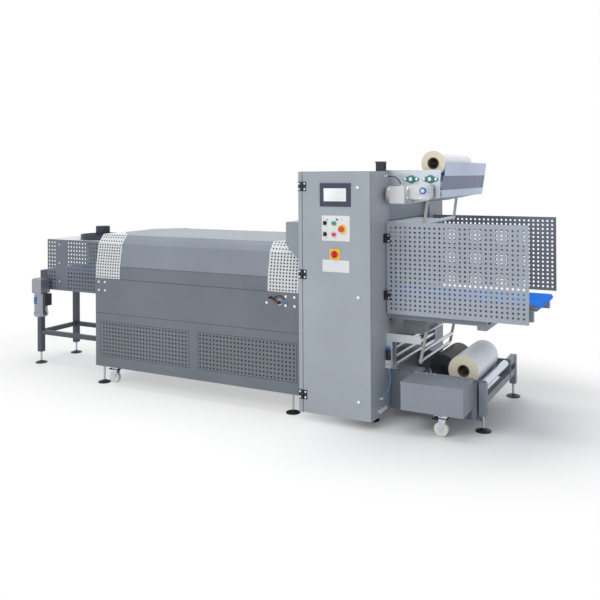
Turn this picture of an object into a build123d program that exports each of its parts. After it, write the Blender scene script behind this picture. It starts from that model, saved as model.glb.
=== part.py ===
from build123d import *
import math
import os

os.makedirs("parts", exist_ok=True)

# The machine runs along X: outfeed at the left, infeed at the right.
# While it is built, X = 0 is the control cabinet's right side, Y = 0 its front, Z = 0 the floor.

# General values
SHEET = 3.0                 # sheet metal of covers and guards
MOVE_GAP = 5.0              # gap round a piece that moves
PIN_GAP = 0.4               # running gap at pins and end faces
SEAT_GAP = 0.3              # gap under a curved piece that rests on another

# Control cabinet
CABINET_WIDTH = 574.0
CABINET_DEPTH = 361.0
CABINET_BOTTOM = 60.0
CABINET_TOP = 1834.0
CABINET_WALL = 4.0
POST_WIDTH = 33.0           # fixed post that carries the door hinges
DOOR_THICK = 20.0
DOOR_SKIN = 3.0
DOOR_EDGE_GAP = 4.0
PLATE_STANDOFF = 24.0       # switchgear plate in front of the back wall
STANDOFF_R = 9.0
STANDOFF_INSET = 60.0
LOCK_INSET = 90.0           # door locks, from the right side
LOCK_Z = (194.0, 936.0, 1716.0)
LOCK_R = 13.0
LOCK_HEIGHT = 5.0
LOCK_KEY_R = 7.0

# Hinges of the cabinet door and of the guards
HINGE_HEIGHT = 67.0
HINGE_LEAF = 27.0
HINGE_THICK = 4.0
KNUCKLE_R = 6.0
DOOR_HINGE_Z = (193.0, 1078.0, 1725.0)
GUARD_HINGE_Z = (922.0, 1340.0)

# Controls on the door
TOUCH_SIZE = (245.0, 169.0)
TOUCH_CENTRE = (-270.0, 1665.0)
TOUCH_THICK = 9.0
TOUCH_EDGE = 3.0
SCREEN_SIZE = (181.0, 96.0)
SCREEN_DEPTH = 2.0
PLATE_SIZE = (223.0, 183.0)
PLATE_CENTRE = (-267.0, 1423.0)
PLATE_THICK = 2.0
BUTTON_R = 15.0
BUTTON_HEIGHT = 14.0
BUTTON_TRAVEL = 4.0
BUTTON_STEM_R = 8.0
BUTTON_EDGE = 1.5
SELECTOR_X = -352.0
SELECTOR_BASE = 6.0
SELECTOR_GRIP = (9.0, 18.0)  # width and height of the grip bar
BUTTON_X = -280.0
BUTTON_ROW_Z = (1460.0, 1380.0)
ESTOP_CENTRE = (-215.0, 1420.0)
ESTOP_R = 20.0
ESTOP_STEM_R = 11.0
ESTOP_HEAD = 16.0
ESTOP_NECK = 10.0
ESTOP_COLLAR_R = 30.0
ESTOP_TRAVEL = 5.0
SWITCH_CENTRE = (-277.0, 1236.0)
SWITCH_SIZE = 78.0
SWITCH_R = 26.0
SWITCH_BASE = 12.0
SWITCH_GRIP = (14.0, 22.0)

# Sealer behind and beside the cabinet
SEALER_GAP = 923.0          # between the control cabinet and the rear housing
SEALER_INSET = 40.0         # the bridge and the base stay behind the cabinet's side
BRIDGE_BOTTOM = 1460.0
BASE_BOTTOM = 130.0
BASE_TOP = 700.0
BAR_X = -130.0
BAR_WIDTH = 60.0
UPPER_BAR_Z = (1290.0, 1370.0)
LOWER_BAR_Z = (820.0, 890.0)
BAR_COLUMN = 50.0
BAR_END_GAP = 20.0
BAR_LIP = 10.0
TOP_BOX_SIZE = (95.0, 95.0, 72.0)
TOP_BOX_INSET = (8.0, 20.0)
TOP_BOX_LID = 12.0

# Fittings on the right side of the cabinet
GLAND_R = 15.0
GLAND_LENGTH = 20.0
GLAND_Y = (150.0, 200.0, 250.0)
GLAND_Z = 100.0

# Film carriage at the top
SIDE_PLATE_THICK = 8.0
SIDE_PLATE_REACH = 404.0
SIDE_PLATE_TOP = 1841.0
SIDE_PLATE_LOW = 1574.0
SIDE_PLATE_TAPER = 240.0
SIDE_PLATE_CORNER = 17.0
ROLLER_Z = 1773.0
ROLLER_X = (179.0, 325.0)
DRIVE_ROLLER = (273.0, 1692.0)
IDLER = (382.0, 1798.0)
IDLER_R = 12.0
IDLER_SHAFT_R = 6.0
FEED_ROLLER_R = 24.0
ROLLER_SHAFT_R = 12.0
ROLLER_END_GAP = 6.0
SHAFT_REACH = 20.0          # roller shafts outside the plates
FLANGE_UNIT = (58.0, 22.0)  # half width and half height of a bearing flange
FLANGE_THICK = 12.0
FLANGE_HUB_R = 30.0
FLANGE_HUB_STEP = 4.0
FLANGE_HUB = 18.0
FLANGE_BOLT_X = 45.0
FLANGE_BOLT_R = 7.0
FLANGE_BOLT = 8.0
FASCIA_TOP = 1899.0
FASCIA_SETBACK = 12.0
FASCIA_BOTTOM = 1637.0
FASCIA_LEAN = 40.0
FASCIA_PLATE_GAP = 31.0     # from the near plate to the fascia's near end
FASCIA_FLANGE = 30.0
FASCIA_FLANGE_THICK = 5.0
FASCIA_LENGTH = 1112.0
TOP_ROLL_R = 92.0
TOP_ROLL_X = 330.0
TOP_ROLL_PLATE_GAP = 41.0
TOP_ROLL_LENGTH = 690.0
CORE_R = 38.0
CORE_WALL = 6.0
CORE_PROUD = 3.0            # the core stands out of the wound film

# Gearmotor of the film feed
MOTOR_R = 62.0
MOTOR_FIN = 4.0
MOTOR_FINS = 9
MOTOR_COWL = 46.0
MOTOR_LENGTH = 160.0
MOTOR_SETBACK = 72.0        # motor axis in front of the near plate
MOTOR_DROP = 32.0           # motor axis below the drive roller
TERMINAL_BOX = (116.0, 26.0, 122.0)
WORM_BOX = (162.0, 106.0)   # width and height of the worm gearbox
WORM_DEPTH = 84.0
WORM_CAP_R = 26.0
WORM_RISE = 42.0
WORM_CAP = 8.0

# Dancers
ARM_WIDTH = 22.0
ARM_THICK = 8.0
DANCER_ROLLER_R = 14.0
DANCER_SHAFT_R = 8.0
DANCER_PLATE_GAP = 31.0
DANCER_LENGTH = 730.0
UPPER_PIVOT = (290.0, 1640.0)
UPPER_END = (264.0, 1452.0)
LOWER_PIVOT = (272.0, 645.0)
LOWER_END = (226.0, 425.0)
SECOND_ROLLER = 0.65        # place of the second roller along the lower arms
LUG_WIDTH = 34.0
LUG_THICK = 8.0

# Infeed conveyor
INFEED_END = 1085.0
INFEED_TOP = 911.0
BELT_WIDTH = 540.0
BELT_THICK = 4.0
BELT_EDGE_GAP = 4.0
INNER_PLATE = 8.0
NOSE_R = 22.0
BED_THICK = 3.0
DEEP_END = 739.0
DEEP_BOTTOM = 743.0
NOSE_BOTTOM = 800.0
NOSE_PLATE_END = 1056.0
SIDE_BEAM = 36.0
SIDE_BEAM_TOP = 880.0
CROSS_BLOCK = (68.0, 31.0)
DRIVE_BOX_X = (85.0, 250.0)
DRIVE_BOX_BOTTOM = 626.0
DRIVE_BOX_LENGTH = 300.0
PULLEY_SHAFT_R = 9.0

# Guards beside the infeed
GUARD_BOTTOM = 785.0
GUARD_TOP = 1460.0
GUARD_END = 1036.0
FRONT_GUARD_Y = 286.0
REAR_GUARD_OFFSET = 74.0    # behind the front face of the rear housing
GUARD_FOLD = 18.0

# Film unwinder below the infeed
LEG_SIZE = 50.0
LEG_TOP = 340.0
LEG_X = 704.0
NEAR_LEG_Y = 360.0
LEG_BOTTOM = 110.0
LOW_BEAM = (40.0, 190.0, 240.0)
WALL_THICK = 12.0
WALL_TOP = 345.0
FRONT_WALL_BOTTOM = 60.0
REAR_WALL_BOTTOM = 200.0
UNWINDER_WIDTH = 693.0      # clear width between the two walls
CORNER_POST = 36.0
POST_BOTTOM = 76.0
BOX_X = (200.0, 646.0)
BOX_Y = (60.0, 327.0)
BOX_Z = (165.0, 362.0)
BOX_LID = 22.0
BOX_LID_PROUD = 2.0
LOWER_ROLL = (545.0, 392.0)
LOWER_ROLL_R = 112.0
LOWER_ROLL_GAP = 23.0
LOWER_ROLL_LENGTH = 560.0
CRADLE_R = 25.0
CRADLE_HALF = 75.0          # half the distance of the cradle rollers
DRUM = (318.0, 342.0)
DRUM_R = 98.0
DRUM_SHAFT_R = 12.0
DRUM_START = 240.0          # bare shaft between the front wall and the drum
SILVER_ROLLER = (697.0, 322.0)
SILVER_R = 28.0
SILVER_SHAFT_R = 8.0
SILVER_END_GAP = 58.0
GUIDE_ROLLER_R = 14.0
GUIDE_ROLLERS = ((26.0, 512.0), (30.0, 450.0), (34.0, 392.0))
LOWER_PLATE_X = (-40.0, 52.0)
LOWER_PLATE_Z = (362.0, 560.0)

# Valve bracket on the cabinet's right side
BRACKET_INSET = 61.0
BRACKET_REACH = 268.0
BRACKET_Z = (578.0, 637.0)
BRACKET_LEG = 46.0
BRACKET_LEG_BOTTOM = 391.0
BRACKET_FLANGE = 30.0
VALVE_X = (4.0, 44.0)
VALVE_DEPTH = 36.0
VALVE_BLOCK_TOP = 446.0
VALVE_PORT_R = 11.0
VALVE_BODY_R = 16.0
VALVE_BODY_TOP = 524.0
VALVE_KNOB_R = 11.0
VALVE_KNOB = 16.0
HOSE_R = 4.0
HOSE_COLLAR_R = 7.0
HOSE_COLLAR = 12.0
HOSE_ROUTE = ((30.0, -18.0, 379.0), (36.0, -16.0, 333.0), (38.0, -24.0, 283.0), (34.0, -50.0, 238.0),
              (25.0, -86.0, 210.0), (17.0, -123.0, 192.0))

# Tunnel
TUNNEL_LENGTH = 2058.0
TUNNEL_FRONT = 60.0
TUNNEL_DEPTH = 1070.0
TUNNEL_BOTTOM = 158.0
TUNNEL_SEAM = 620.0
HOOD_BOTTOM = 922.0
HOOD_TOP = 1297.0
HOOD_BEND_LOW = (6.0, 1030.0)
HOOD_BEND_MID = (38.0, 1222.0)
HOOD_BEND_HIGH = (70.0, 1262.0)
HOOD_EDGE = 103.0
PASSAGE_WIDTH = 560.0
PASSAGE_TOP = 1215.0
TROUGH_DEPTH = 120.0
TUNNEL_BELT_GAP = 14.0
TUNNEL_BELT_R = 40.0
COVER_WIDTH = 270.0
LEFT_COVER_INSET = 3.0
RIGHT_COVER_INSET = 36.0
COVER_TOP_REACH = 269.0
CONNECTION_WIDTH = 141.0
CONNECTION_TOP = 1455.0
CONNECTION_EDGE = 1285.0
CONNECTION_CORNER = (115.0, 1165.0)
PANEL_Z = (250.0, 545.0)
PANEL_MARGIN = 56.0
PANEL_POST = (962.0, 92.0)  # place from the right end, and width, of the post between the panels
PANEL_POCKET = 60.0
LEVER_HUB = (201.0, 843.0)  # from the tunnel's right end, and height
LEVER_HUB_R = 14.0
LEVER_HUB_HEIGHT = 22.0
LEVER_ARM = (10.0, 8.0)
LEVER_LENGTH = 74.0
LEVER_ANGLE = 150.0
LEVER_GRIP_R = 9.0

# Outfeed
OUTFEED_LENGTH = 1033.0
OUTFEED_TOP = 900.0
OUTFEED_BELT_WIDTH = 400.0
OUTFEED_PULLEY_R = 33.0
OUTFEED_LEG_INSET = 31.0
OUTFEED_LEG_HALF = 228.0
OUTFEED_SIDE = (16.0, 110.0)
OUTFEED_SIDE_GAP = 6.0
STRETCHER_Z = 300.0
STRETCHER = 40.0
GUARD_BOX_LENGTH = 888.0
GUARD_BOX_HALF = 250.0
GUARD_BOX_BOTTOM = 722.0
GUARD_BOX_TOP = 1205.0
GUARD_SPACER = 20.0
GUARD_SPACER_X = (120.0, 700.0)
FAN_OFFSET = 418.0          # fan centre from the tunnel's left end
FAN_R = 205.0
FAN_WALL = 6.0
FAN_HEIGHT = 46.0
FAN_BAR = 5.0
FAN_RINGS = (90.0, 130.0, 170.0)
FAN_HUB_R = 55.0
FAN_BLADES = 5
FAN_BLADE = (12.0, 22.0)    # half width at the hub and at the tip
FAN_BLADE_THICK = 3.0
FAN_PITCH = 28.0
FAN_MOTOR = (92.0, 78.0)
OUT_MOTOR = (109.0, 77.0)   # motor axis from the leg's axis and from the leg's front
OUT_MOTOR_R = 66.0
OUT_MOTOR_BOTTOM = 475.0
OUT_MOTOR_TOP = 700.0
OUT_GEARBOX = (120.0, 110.0, 140.0)
OUT_GEAR_HUB_R = 27.0
OUT_TERMINAL = (34.0, 80.0, 110.0)
OUT_TERMINAL_Z = 640.0

# Feet and casters
FOOT_R = 55.0
FOOT_DISC = 8.0
FOOT_CONE = 14.0
FOOT_NECK_R = 16.0
FOOT_STEM_R = 9.0
FOOT_NUT_R = 14.0
FOOT_NUT = 10.0
TUNNEL_FOOT_INSET = (42.0, 120.0)
FOOT_SIDE_INSET = 60.0
CABINET_FOOT_INSET = 90.0
CABINET_FOOT_Y = 230.0
WHEEL_R = 50.0
WHEEL_WIDTH = 32.0
WHEEL_EDGE = 4.0
CASTER_LIFT = 2.0
CASTER_TRAIL = 28.0
CASTER_PLATE = (100.0, 84.0, 8.0)
CASTER_INSET = (167.0, 90.0)
BOX_CASTER = (500.0, 130.0)
SWIVEL_R = 26.0
SWIVEL_HEIGHT = 12.0
FORK_TOP = 6.0
CHEEK = 4.0
CHEEK_GAP = 3.0
CHEEK_END_R = 14.0
AXLE_R = 6.0
AXLE_GAP = 0.1
PEDAL = (34.0, 26.0, 5.0)

# Cables, as tubes along straight runs and tangent arcs
CABLE_R = 4.0
MOTOR_CABLE_POINTS = ((22.0, 279.0, 1796.0), (62.0, 277.0, 1797.0), (100.0, 270.0, 1785.0),
                      (126.0, 262.0, 1759.0), (134.0, 259.0, 1733.0))

TO_FRONT = (0, -1, 0)
TO_REAR = (0, 1, 0)
TO_LEFT = (-1, 0, 0)
TO_RIGHT = (1, 0, 0)
UP = (0, 0, 1)

# Places that follow from the values above
DOOR_SEAM_X = POST_WIDTH - CABINET_WIDTH
DOOR_AXIS_Y = -KNUCKLE_R
DOOR_LEFT = DOOR_SEAM_X + MOVE_GAP / 2
DOOR_BACK_GAP = DOOR_THICK + MOVE_GAP
REAR_FRONT_Y = CABINET_DEPTH + SEALER_GAP
REAR_BACK_Y = REAR_FRONT_Y + CABINET_DEPTH
REAR_GUARD_Y = REAR_FRONT_Y + REAR_GUARD_OFFSET
NEAR_PLATE = (CABINET_DEPTH, CABINET_DEPTH + SIDE_PLATE_THICK)
BRACKET_Y = CABINET_DEPTH - BRACKET_INSET
HOSE_POINTS = tuple((x, BRACKET_Y + y, z) for x, y, z in HOSE_ROUTE)
FAR_PLATE = (REAR_FRONT_Y - SIDE_PLATE_THICK, REAR_FRONT_Y)
FASCIA_NEAR = NEAR_PLATE[1] + FASCIA_PLATE_GAP
FASCIA_FAR = FASCIA_NEAR + FASCIA_LENGTH
FASCIA_LOW_X = SIDE_PLATE_REACH - FASCIA_SETBACK
FASCIA_TOP_X = FASCIA_LOW_X + FASCIA_LEAN
TOP_ROLL_NEAR = NEAR_PLATE[1] + TOP_ROLL_PLATE_GAP
TOP_ROLL_RISE = math.sqrt((FEED_ROLLER_R + TOP_ROLL_R + SEAT_GAP) ** 2 - (TOP_ROLL_X - ROLLER_X[1]) ** 2)
TOP_ROLL_Z = ROLLER_Z + TOP_ROLL_RISE
DANCER_NEAR = NEAR_PLATE[1] + DANCER_PLATE_GAP
DANCER_FAR = DANCER_NEAR + DANCER_LENGTH
INNER_NEAR = CABINET_DEPTH + MOVE_GAP
LINE_Y = INNER_NEAR + INNER_PLATE + BELT_EDGE_GAP + BELT_WIDTH / 2
FRONT_WALL_Y = NEAR_LEG_Y + LEG_SIZE / 2
FRONT_WALL = (FRONT_WALL_Y, FRONT_WALL_Y + WALL_THICK)
REAR_WALL = (FRONT_WALL[1] + UNWINDER_WIDTH, FRONT_WALL[1] + UNWINDER_WIDTH + WALL_THICK)
FAR_LEG_Y = REAR_FRONT_Y
LOWER_ROLL_NEAR = FRONT_WALL[1] + LOWER_ROLL_GAP
CRADLE_DROP = math.sqrt((LOWER_ROLL_R + CRADLE_R + SEAT_GAP) ** 2 - CRADLE_HALF ** 2)
CRADLE_ROLLERS = [(LOWER_ROLL[0] + side * CRADLE_HALF, LOWER_ROLL[1] - CRADLE_DROP) for side in (-1, 1)]
TUNNEL_RIGHT = -CABINET_WIDTH
TUNNEL_LEFT = TUNNEL_RIGHT - TUNNEL_LENGTH
TUNNEL_REAR = TUNNEL_FRONT + TUNNEL_DEPTH
TUNNEL_MID = TUNNEL_FRONT + TUNNEL_DEPTH / 2
OUTFEED_LEFT = TUNNEL_LEFT - OUTFEED_LENGTH
OUTFEED_LEG_X = OUTFEED_LEFT + OUTFEED_LEG_INSET
OUTFEED_LEG_Y = (TUNNEL_MID - OUTFEED_LEG_HALF, TUNNEL_MID + OUTFEED_LEG_HALF)
GUARD_BOX_LEFT = TUNNEL_LEFT - GUARD_BOX_LENGTH
CASTER_SPOTS = {"left": (TUNNEL_LEFT + CASTER_INSET[0], TUNNEL_FRONT + CASTER_INSET[1], TUNNEL_BOTTOM),
                "right": (*BOX_CASTER, BOX_Z[0])}

pieces = {}


def keep(built, label):
    """Label a finished piece and keep it for export."""
    built.part.label = label
    pieces[label] = built.part


def block(x, y, z, mode=Mode.ADD):
    """A block given by its spans along X, Y and Z."""
    with Locations(((x[0] + x[1]) / 2, (y[0] + y[1]) / 2, (z[0] + z[1]) / 2)):
        Box(x[1] - x[0], y[1] - y[0], z[1] - z[0], mode=mode)


def rod(start, direction, radius, length, mode=Mode.ADD):
    """A round bar from its start point along a direction."""
    with Locations(Plane(origin=start, z_dir=direction)):
        Cylinder(radius, length, align=(Align.CENTER, Align.CENTER, Align.MIN), mode=mode)


def bar_y(centre, span, radius, mode=Mode.ADD):
    """A round bar along Y at an X and Z, over a span of Y."""
    rod((centre[0], span[0], centre[1]), TO_REAR, radius, span[1] - span[0], mode)


def around(centre, size):
    """The span of a size about its centre."""
    return (centre - size / 2, centre + size / 2)


def cut_block_y(x, y, z, cut):
    """A block whose four edges along Y are cut off."""
    with BuildSketch(Plane.XZ.offset(-y[0])) as face:
        with Locations(((x[0] + x[1]) / 2, (z[0] + z[1]) / 2)):
            Rectangle(x[1] - x[0], z[1] - z[0])
        chamfer(face.vertices(), cut)
    extrude(face.sketch, amount=y[0] - y[1])


def caster_plate(centre_x, centre_y, seat_z):
    """The fixed top plate of a caster."""
    block(around(centre_x, CASTER_PLATE[0]), around(centre_y, CASTER_PLATE[1]),
          (seat_z - CASTER_PLATE[2], seat_z))


def tube_path(points):
    """A cord's line: straight runs joined by tangent arcs as large as the runs allow."""
    corners = [Vector(*point) for point in points]
    runs = [b - a for a, b in zip(corners, corners[1:])]
    radii = []
    for first, second in zip(runs, runs[1:]):
        shorter = min(first.length, second.length)
        radii.append(0.45 * shorter / math.tan(math.radians(first.get_angle(second) / 2)))
    print("radii", [round(radius) for radius in radii])
    return FilletPolyline(*corners, radius=radii)


# Control cabinet: a shell open at the front, its hinge post and the switchgear plate at the back
with BuildPart() as control_cabinet:
    block((-CABINET_WIDTH, 0), (DOOR_BACK_GAP, CABINET_DEPTH), (CABINET_BOTTOM, CABINET_TOP))
    block((-CABINET_WIDTH + CABINET_WALL, -CABINET_WALL),
          (DOOR_BACK_GAP, CABINET_DEPTH - CABINET_WALL),
          (CABINET_BOTTOM + CABINET_WALL, CABINET_TOP - CABINET_WALL), mode=Mode.SUBTRACT)
    block((-CABINET_WIDTH, DOOR_SEAM_X - MOVE_GAP / 2), (0, DOOR_BACK_GAP), (CABINET_BOTTOM, CABINET_TOP))
    plate_back = CABINET_DEPTH - CABINET_WALL - PLATE_STANDOFF
    block((-CABINET_WIDTH + STANDOFF_INSET / 2, -STANDOFF_INSET / 2), (plate_back - SHEET, plate_back),
          (CABINET_BOTTOM + STANDOFF_INSET / 2, CABINET_TOP - STANDOFF_INSET / 2))
    for standoff_x in (-CABINET_WIDTH + STANDOFF_INSET, -STANDOFF_INSET):
        for standoff_z in (CABINET_BOTTOM + STANDOFF_INSET, CABINET_TOP - STANDOFF_INSET):
            rod((standoff_x, plate_back, standoff_z), TO_REAR, STANDOFF_R, PLATE_STANDOFF)
keep(control_cabinet, "control_cabinet")

# Stems of the push buttons and of the emergency stop, which run in holes of plate and door
STEMS = [((BUTTON_X, row_z), BUTTON_STEM_R) for row_z in BUTTON_ROW_Z] + [(ESTOP_CENTRE, ESTOP_STEM_R)]

# Cabinet door: a folded tray with the moving hinge leaves
DOOR_Z = (CABINET_BOTTOM + DOOR_EDGE_GAP, CABINET_TOP - DOOR_EDGE_GAP)
with BuildPart() as cabinet_door:
    block((DOOR_LEFT, 0), (0, DOOR_THICK), DOOR_Z)
    block((DOOR_LEFT + DOOR_SKIN, -DOOR_SKIN), (DOOR_SKIN, DOOR_THICK),
          (DOOR_Z[0] + DOOR_SKIN, DOOR_Z[1] - DOOR_SKIN), mode=Mode.SUBTRACT)
    for hinge_z in DOOR_HINGE_Z:
        block((DOOR_SEAM_X + KNUCKLE_R / 2, DOOR_SEAM_X + KNUCKLE_R + HINGE_LEAF), (-HINGE_THICK, 0),
              around(hinge_z, HINGE_HEIGHT))
        rod((DOOR_SEAM_X, DOOR_AXIS_Y, hinge_z - HINGE_HEIGHT / 6), UP, KNUCKLE_R, HINGE_HEIGHT / 3)
        for side in (-1, 1):
            block((DOOR_SEAM_X - KNUCKLE_R, DOOR_SEAM_X + KNUCKLE_R + PIN_GAP), (2 * DOOR_AXIS_Y, 0),
                  around(hinge_z + side * (HINGE_HEIGHT / 3 + PIN_GAP), HINGE_HEIGHT / 3 + 2 * PIN_GAP),
                  mode=Mode.SUBTRACT)
    for centre, stem_r in STEMS:
        bar_y(centre, (0, DOOR_SKIN), stem_r + PIN_GAP, mode=Mode.SUBTRACT)
keep(cabinet_door, "cabinet_door")

# Quarter-turn locks of the door, each with its key socket
with BuildPart() as door_locks:
    for lock_z in LOCK_Z:
        rod((-LOCK_INSET, 0, lock_z), TO_FRONT, LOCK_R, LOCK_HEIGHT)
        with BuildSketch(Plane.XZ.offset(LOCK_HEIGHT)):
            with Locations((-LOCK_INSET, lock_z)):
                RegularPolygon(LOCK_KEY_R, 3)
        extrude(amount=-LOCK_HEIGHT / 2, mode=Mode.SUBTRACT)
keep(door_locks, "door_locks")

# Touch panel: a chamfered bezel round its recessed screen
with BuildPart() as touch_panel:
    block(around(TOUCH_CENTRE[0], TOUCH_SIZE[0]), (-TOUCH_THICK, 0), around(TOUCH_CENTRE[1], TOUCH_SIZE[1]))
    chamfer(touch_panel.edges().group_by(Axis.Y)[0], TOUCH_EDGE)
    block(around(TOUCH_CENTRE[0], SCREEN_SIZE[0]), (-TOUCH_THICK, SCREEN_DEPTH - TOUCH_THICK),
          around(TOUCH_CENTRE[1], SCREEN_SIZE[1]), mode=Mode.SUBTRACT)
keep(touch_panel, "touch_panel")

# Plates under the buttons and under the main switch
with BuildPart() as control_plates:
    block(around(PLATE_CENTRE[0], PLATE_SIZE[0]), (-PLATE_THICK, 0), around(PLATE_CENTRE[1], PLATE_SIZE[1]))
    block(around(SWITCH_CENTRE[0], SWITCH_SIZE), (-PLATE_THICK, 0), around(SWITCH_CENTRE[1], SWITCH_SIZE))
    rod((ESTOP_CENTRE[0], -PLATE_THICK, ESTOP_CENTRE[1]), TO_FRONT, ESTOP_COLLAR_R, PLATE_THICK)
    for row_z in BUTTON_ROW_Z:
        rod((BUTTON_X, 0, row_z), TO_FRONT, BUTTON_R - PIN_GAP, PLATE_THICK + PIN_GAP)
    for centre, stem_r in STEMS:
        bar_y(centre, (-2 * PLATE_THICK, 0), stem_r + PIN_GAP, mode=Mode.SUBTRACT)
keep(control_plates, "control_plates")

# Green and red push buttons: a skirted cap that leaves room for its travel over the socket
for name, row_z in zip(("green_button", "red_button"), BUTTON_ROW_Z):
    with BuildPart() as button:
        rod((BUTTON_X, -PLATE_THICK - BUTTON_TRAVEL - PIN_GAP, row_z), TO_FRONT, BUTTON_R, BUTTON_HEIGHT)
        chamfer(button.edges().group_by(Axis.Y)[0], BUTTON_EDGE)
        bar_y((BUTTON_X, row_z), (-PLATE_THICK - BUTTON_TRAVEL - PIN_GAP, DOOR_SKIN), BUTTON_STEM_R)
    keep(button, name)

# Black selector switches
for name, row_z in zip(("upper_selector", "lower_selector"), BUTTON_ROW_Z):
    with BuildPart() as selector:
        selector_back = -PLATE_THICK - SEAT_GAP
        rod((SELECTOR_X, selector_back, row_z), TO_FRONT, BUTTON_R, SELECTOR_BASE)
        chamfer(selector.edges().group_by(Axis.Y)[0], BUTTON_EDGE)
        block(around(SELECTOR_X, SELECTOR_GRIP[0]),
              (selector_back - SELECTOR_BASE - SELECTOR_GRIP[1], selector_back - SELECTOR_BASE),
              around(row_z, 2 * BUTTON_R - 2 * BUTTON_EDGE))
    keep(selector, name)

# Emergency stop: a mushroom head on its stem, clear of the collar by its travel
with BuildPart() as emergency_stop:
    estop_back = -2 * PLATE_THICK - ESTOP_TRAVEL - PIN_GAP
    bar_y(ESTOP_CENTRE, (estop_back - ESTOP_NECK, DOOR_SKIN), ESTOP_STEM_R)
    rod((ESTOP_CENTRE[0], estop_back - ESTOP_NECK, ESTOP_CENTRE[1]), TO_FRONT, ESTOP_R, ESTOP_HEAD)
    fillet(emergency_stop.edges().group_by(Axis.Y)[0], ESTOP_HEAD / 3)
keep(emergency_stop, "emergency_stop")

# Main switch: a round base with a grip bar
with BuildPart() as main_switch:
    switch_back = -PLATE_THICK - SEAT_GAP
    rod((SWITCH_CENTRE[0], switch_back, SWITCH_CENTRE[1]), TO_FRONT, SWITCH_R, SWITCH_BASE)
    chamfer(main_switch.edges().group_by(Axis.Y)[0], BUTTON_EDGE)
    grip_back = switch_back - SWITCH_BASE
    block(around(SWITCH_CENTRE[0], SWITCH_GRIP[0]), (grip_back - SWITCH_GRIP[1], grip_back),
          around(SWITCH_CENTRE[1], 2 * SWITCH_R - 2 * BUTTON_EDGE))
keep(main_switch, "main_switch")

# Black box on top of the cabinet, with a wider lid
with BuildPart() as top_box:
    box_x = (-TOP_BOX_SIZE[0] - TOP_BOX_INSET[0], -TOP_BOX_INSET[0])
    box_y = (CABINET_DEPTH - TOP_BOX_SIZE[1] - TOP_BOX_INSET[1], CABINET_DEPTH - TOP_BOX_INSET[1])
    box_top = CABINET_TOP + TOP_BOX_SIZE[2]
    block(box_x, box_y, (box_top - TOP_BOX_LID, box_top))
    block((box_x[0] + SHEET, box_x[1] - SHEET), (box_y[0] + SHEET, box_y[1] - SHEET), (CABINET_TOP, box_top))
keep(top_box, "top_box")

# Glands low on the cabinet's right side, the elbow of the air hose and the gland of the motor cable
hose_end = Vector(*HOSE_POINTS[-1])
hose_run = (hose_end - Vector(*HOSE_POINTS[-2])).normalized()
with BuildPart() as side_glands:
    for gland_y in GLAND_Y:
        rod((0, gland_y, GLAND_Z), TO_RIGHT, GLAND_R, GLAND_LENGTH)
        chamfer(side_glands.edges().group_by(Axis.X)[-1], BUTTON_EDGE)
    rod(tuple(hose_end), tuple(hose_run), HOSE_COLLAR_R, HOSE_COLLAR)
    elbow = hose_end + hose_run * HOSE_COLLAR
    rod((0, elbow.Y, elbow.Z), TO_RIGHT, HOSE_COLLAR_R, elbow.X + HOSE_COLLAR_R / 2)
    cable_start = MOTOR_CABLE_POINTS[0]
    rod((0, cable_start[1], cable_start[2]), TO_RIGHT, 2 * CABLE_R, cable_start[0] - SEAT_GAP)
keep(side_glands, "side_glands")

# Rear housing of the sealer, as deep as the control cabinet
with BuildPart() as rear_housing:
    block((-CABINET_WIDTH, 0), (REAR_FRONT_Y, REAR_BACK_Y), (CABINET_BOTTOM, CABINET_TOP))
    block(around(-CABINET_WIDTH / 2, CABINET_WIDTH - 2 * POST_WIDTH), (REAR_BACK_Y - SHEET, REAR_BACK_Y),
          (CABINET_BOTTOM + POST_WIDTH, CABINET_TOP - POST_WIDTH), mode=Mode.SUBTRACT)
    block(around(-CABINET_WIDTH / 2, CABINET_WIDTH - 2 * POST_WIDTH - MOVE_GAP),
          (REAR_BACK_Y - SHEET, REAR_BACK_Y),
          (CABINET_BOTTOM + POST_WIDTH + MOVE_GAP / 2, CABINET_TOP - POST_WIDTH - MOVE_GAP / 2))
keep(rear_housing, "rear_housing")

# Bridge over the product line and base under it
SEALER_X = (-CABINET_WIDTH, -SEALER_INSET)
with BuildPart() as sealer_bridge:
    block(SEALER_X, (CABINET_DEPTH, REAR_FRONT_Y), (BRIDGE_BOTTOM, CABINET_TOP))
keep(sealer_bridge, "sealer_bridge")

with BuildPart() as sealer_base:
    block(SEALER_X, (CABINET_DEPTH, REAR_FRONT_Y), (BASE_BOTTOM, BASE_TOP))
keep(sealer_base, "sealer_base")

# Sealing bars across the product line: the upper one hangs from the bridge, the lower stands on the base
BAR_Y = (CABINET_DEPTH + BAR_END_GAP, REAR_FRONT_Y - BAR_END_GAP)
with BuildPart() as sealing_bars:
    for bar_z, column_z, tip in ((UPPER_BAR_Z, (UPPER_BAR_Z[1], BRIDGE_BOTTOM), UPPER_BAR_Z[0]),
                                 (LOWER_BAR_Z, (BASE_TOP, LOWER_BAR_Z[0]), LOWER_BAR_Z[1])):
        block(around(BAR_X, BAR_WIDTH), BAR_Y, bar_z)
        lip_end = tip + math.copysign(BAR_LIP, tip - sum(bar_z) / 2)
        block(around(BAR_X, BAR_LIP), BAR_Y, sorted((tip, lip_end)))
        block(around(BAR_X, BAR_COLUMN), around(LINE_Y, BAR_COLUMN), column_z)
        for bar_end in ((BAR_Y[0], BAR_Y[0] + BAR_COLUMN / 2), (BAR_Y[1] - BAR_COLUMN, BAR_Y[1])):
            block(around(BAR_X, BAR_COLUMN), bar_end, column_z)
keep(sealing_bars, "sealing_bars")


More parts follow.
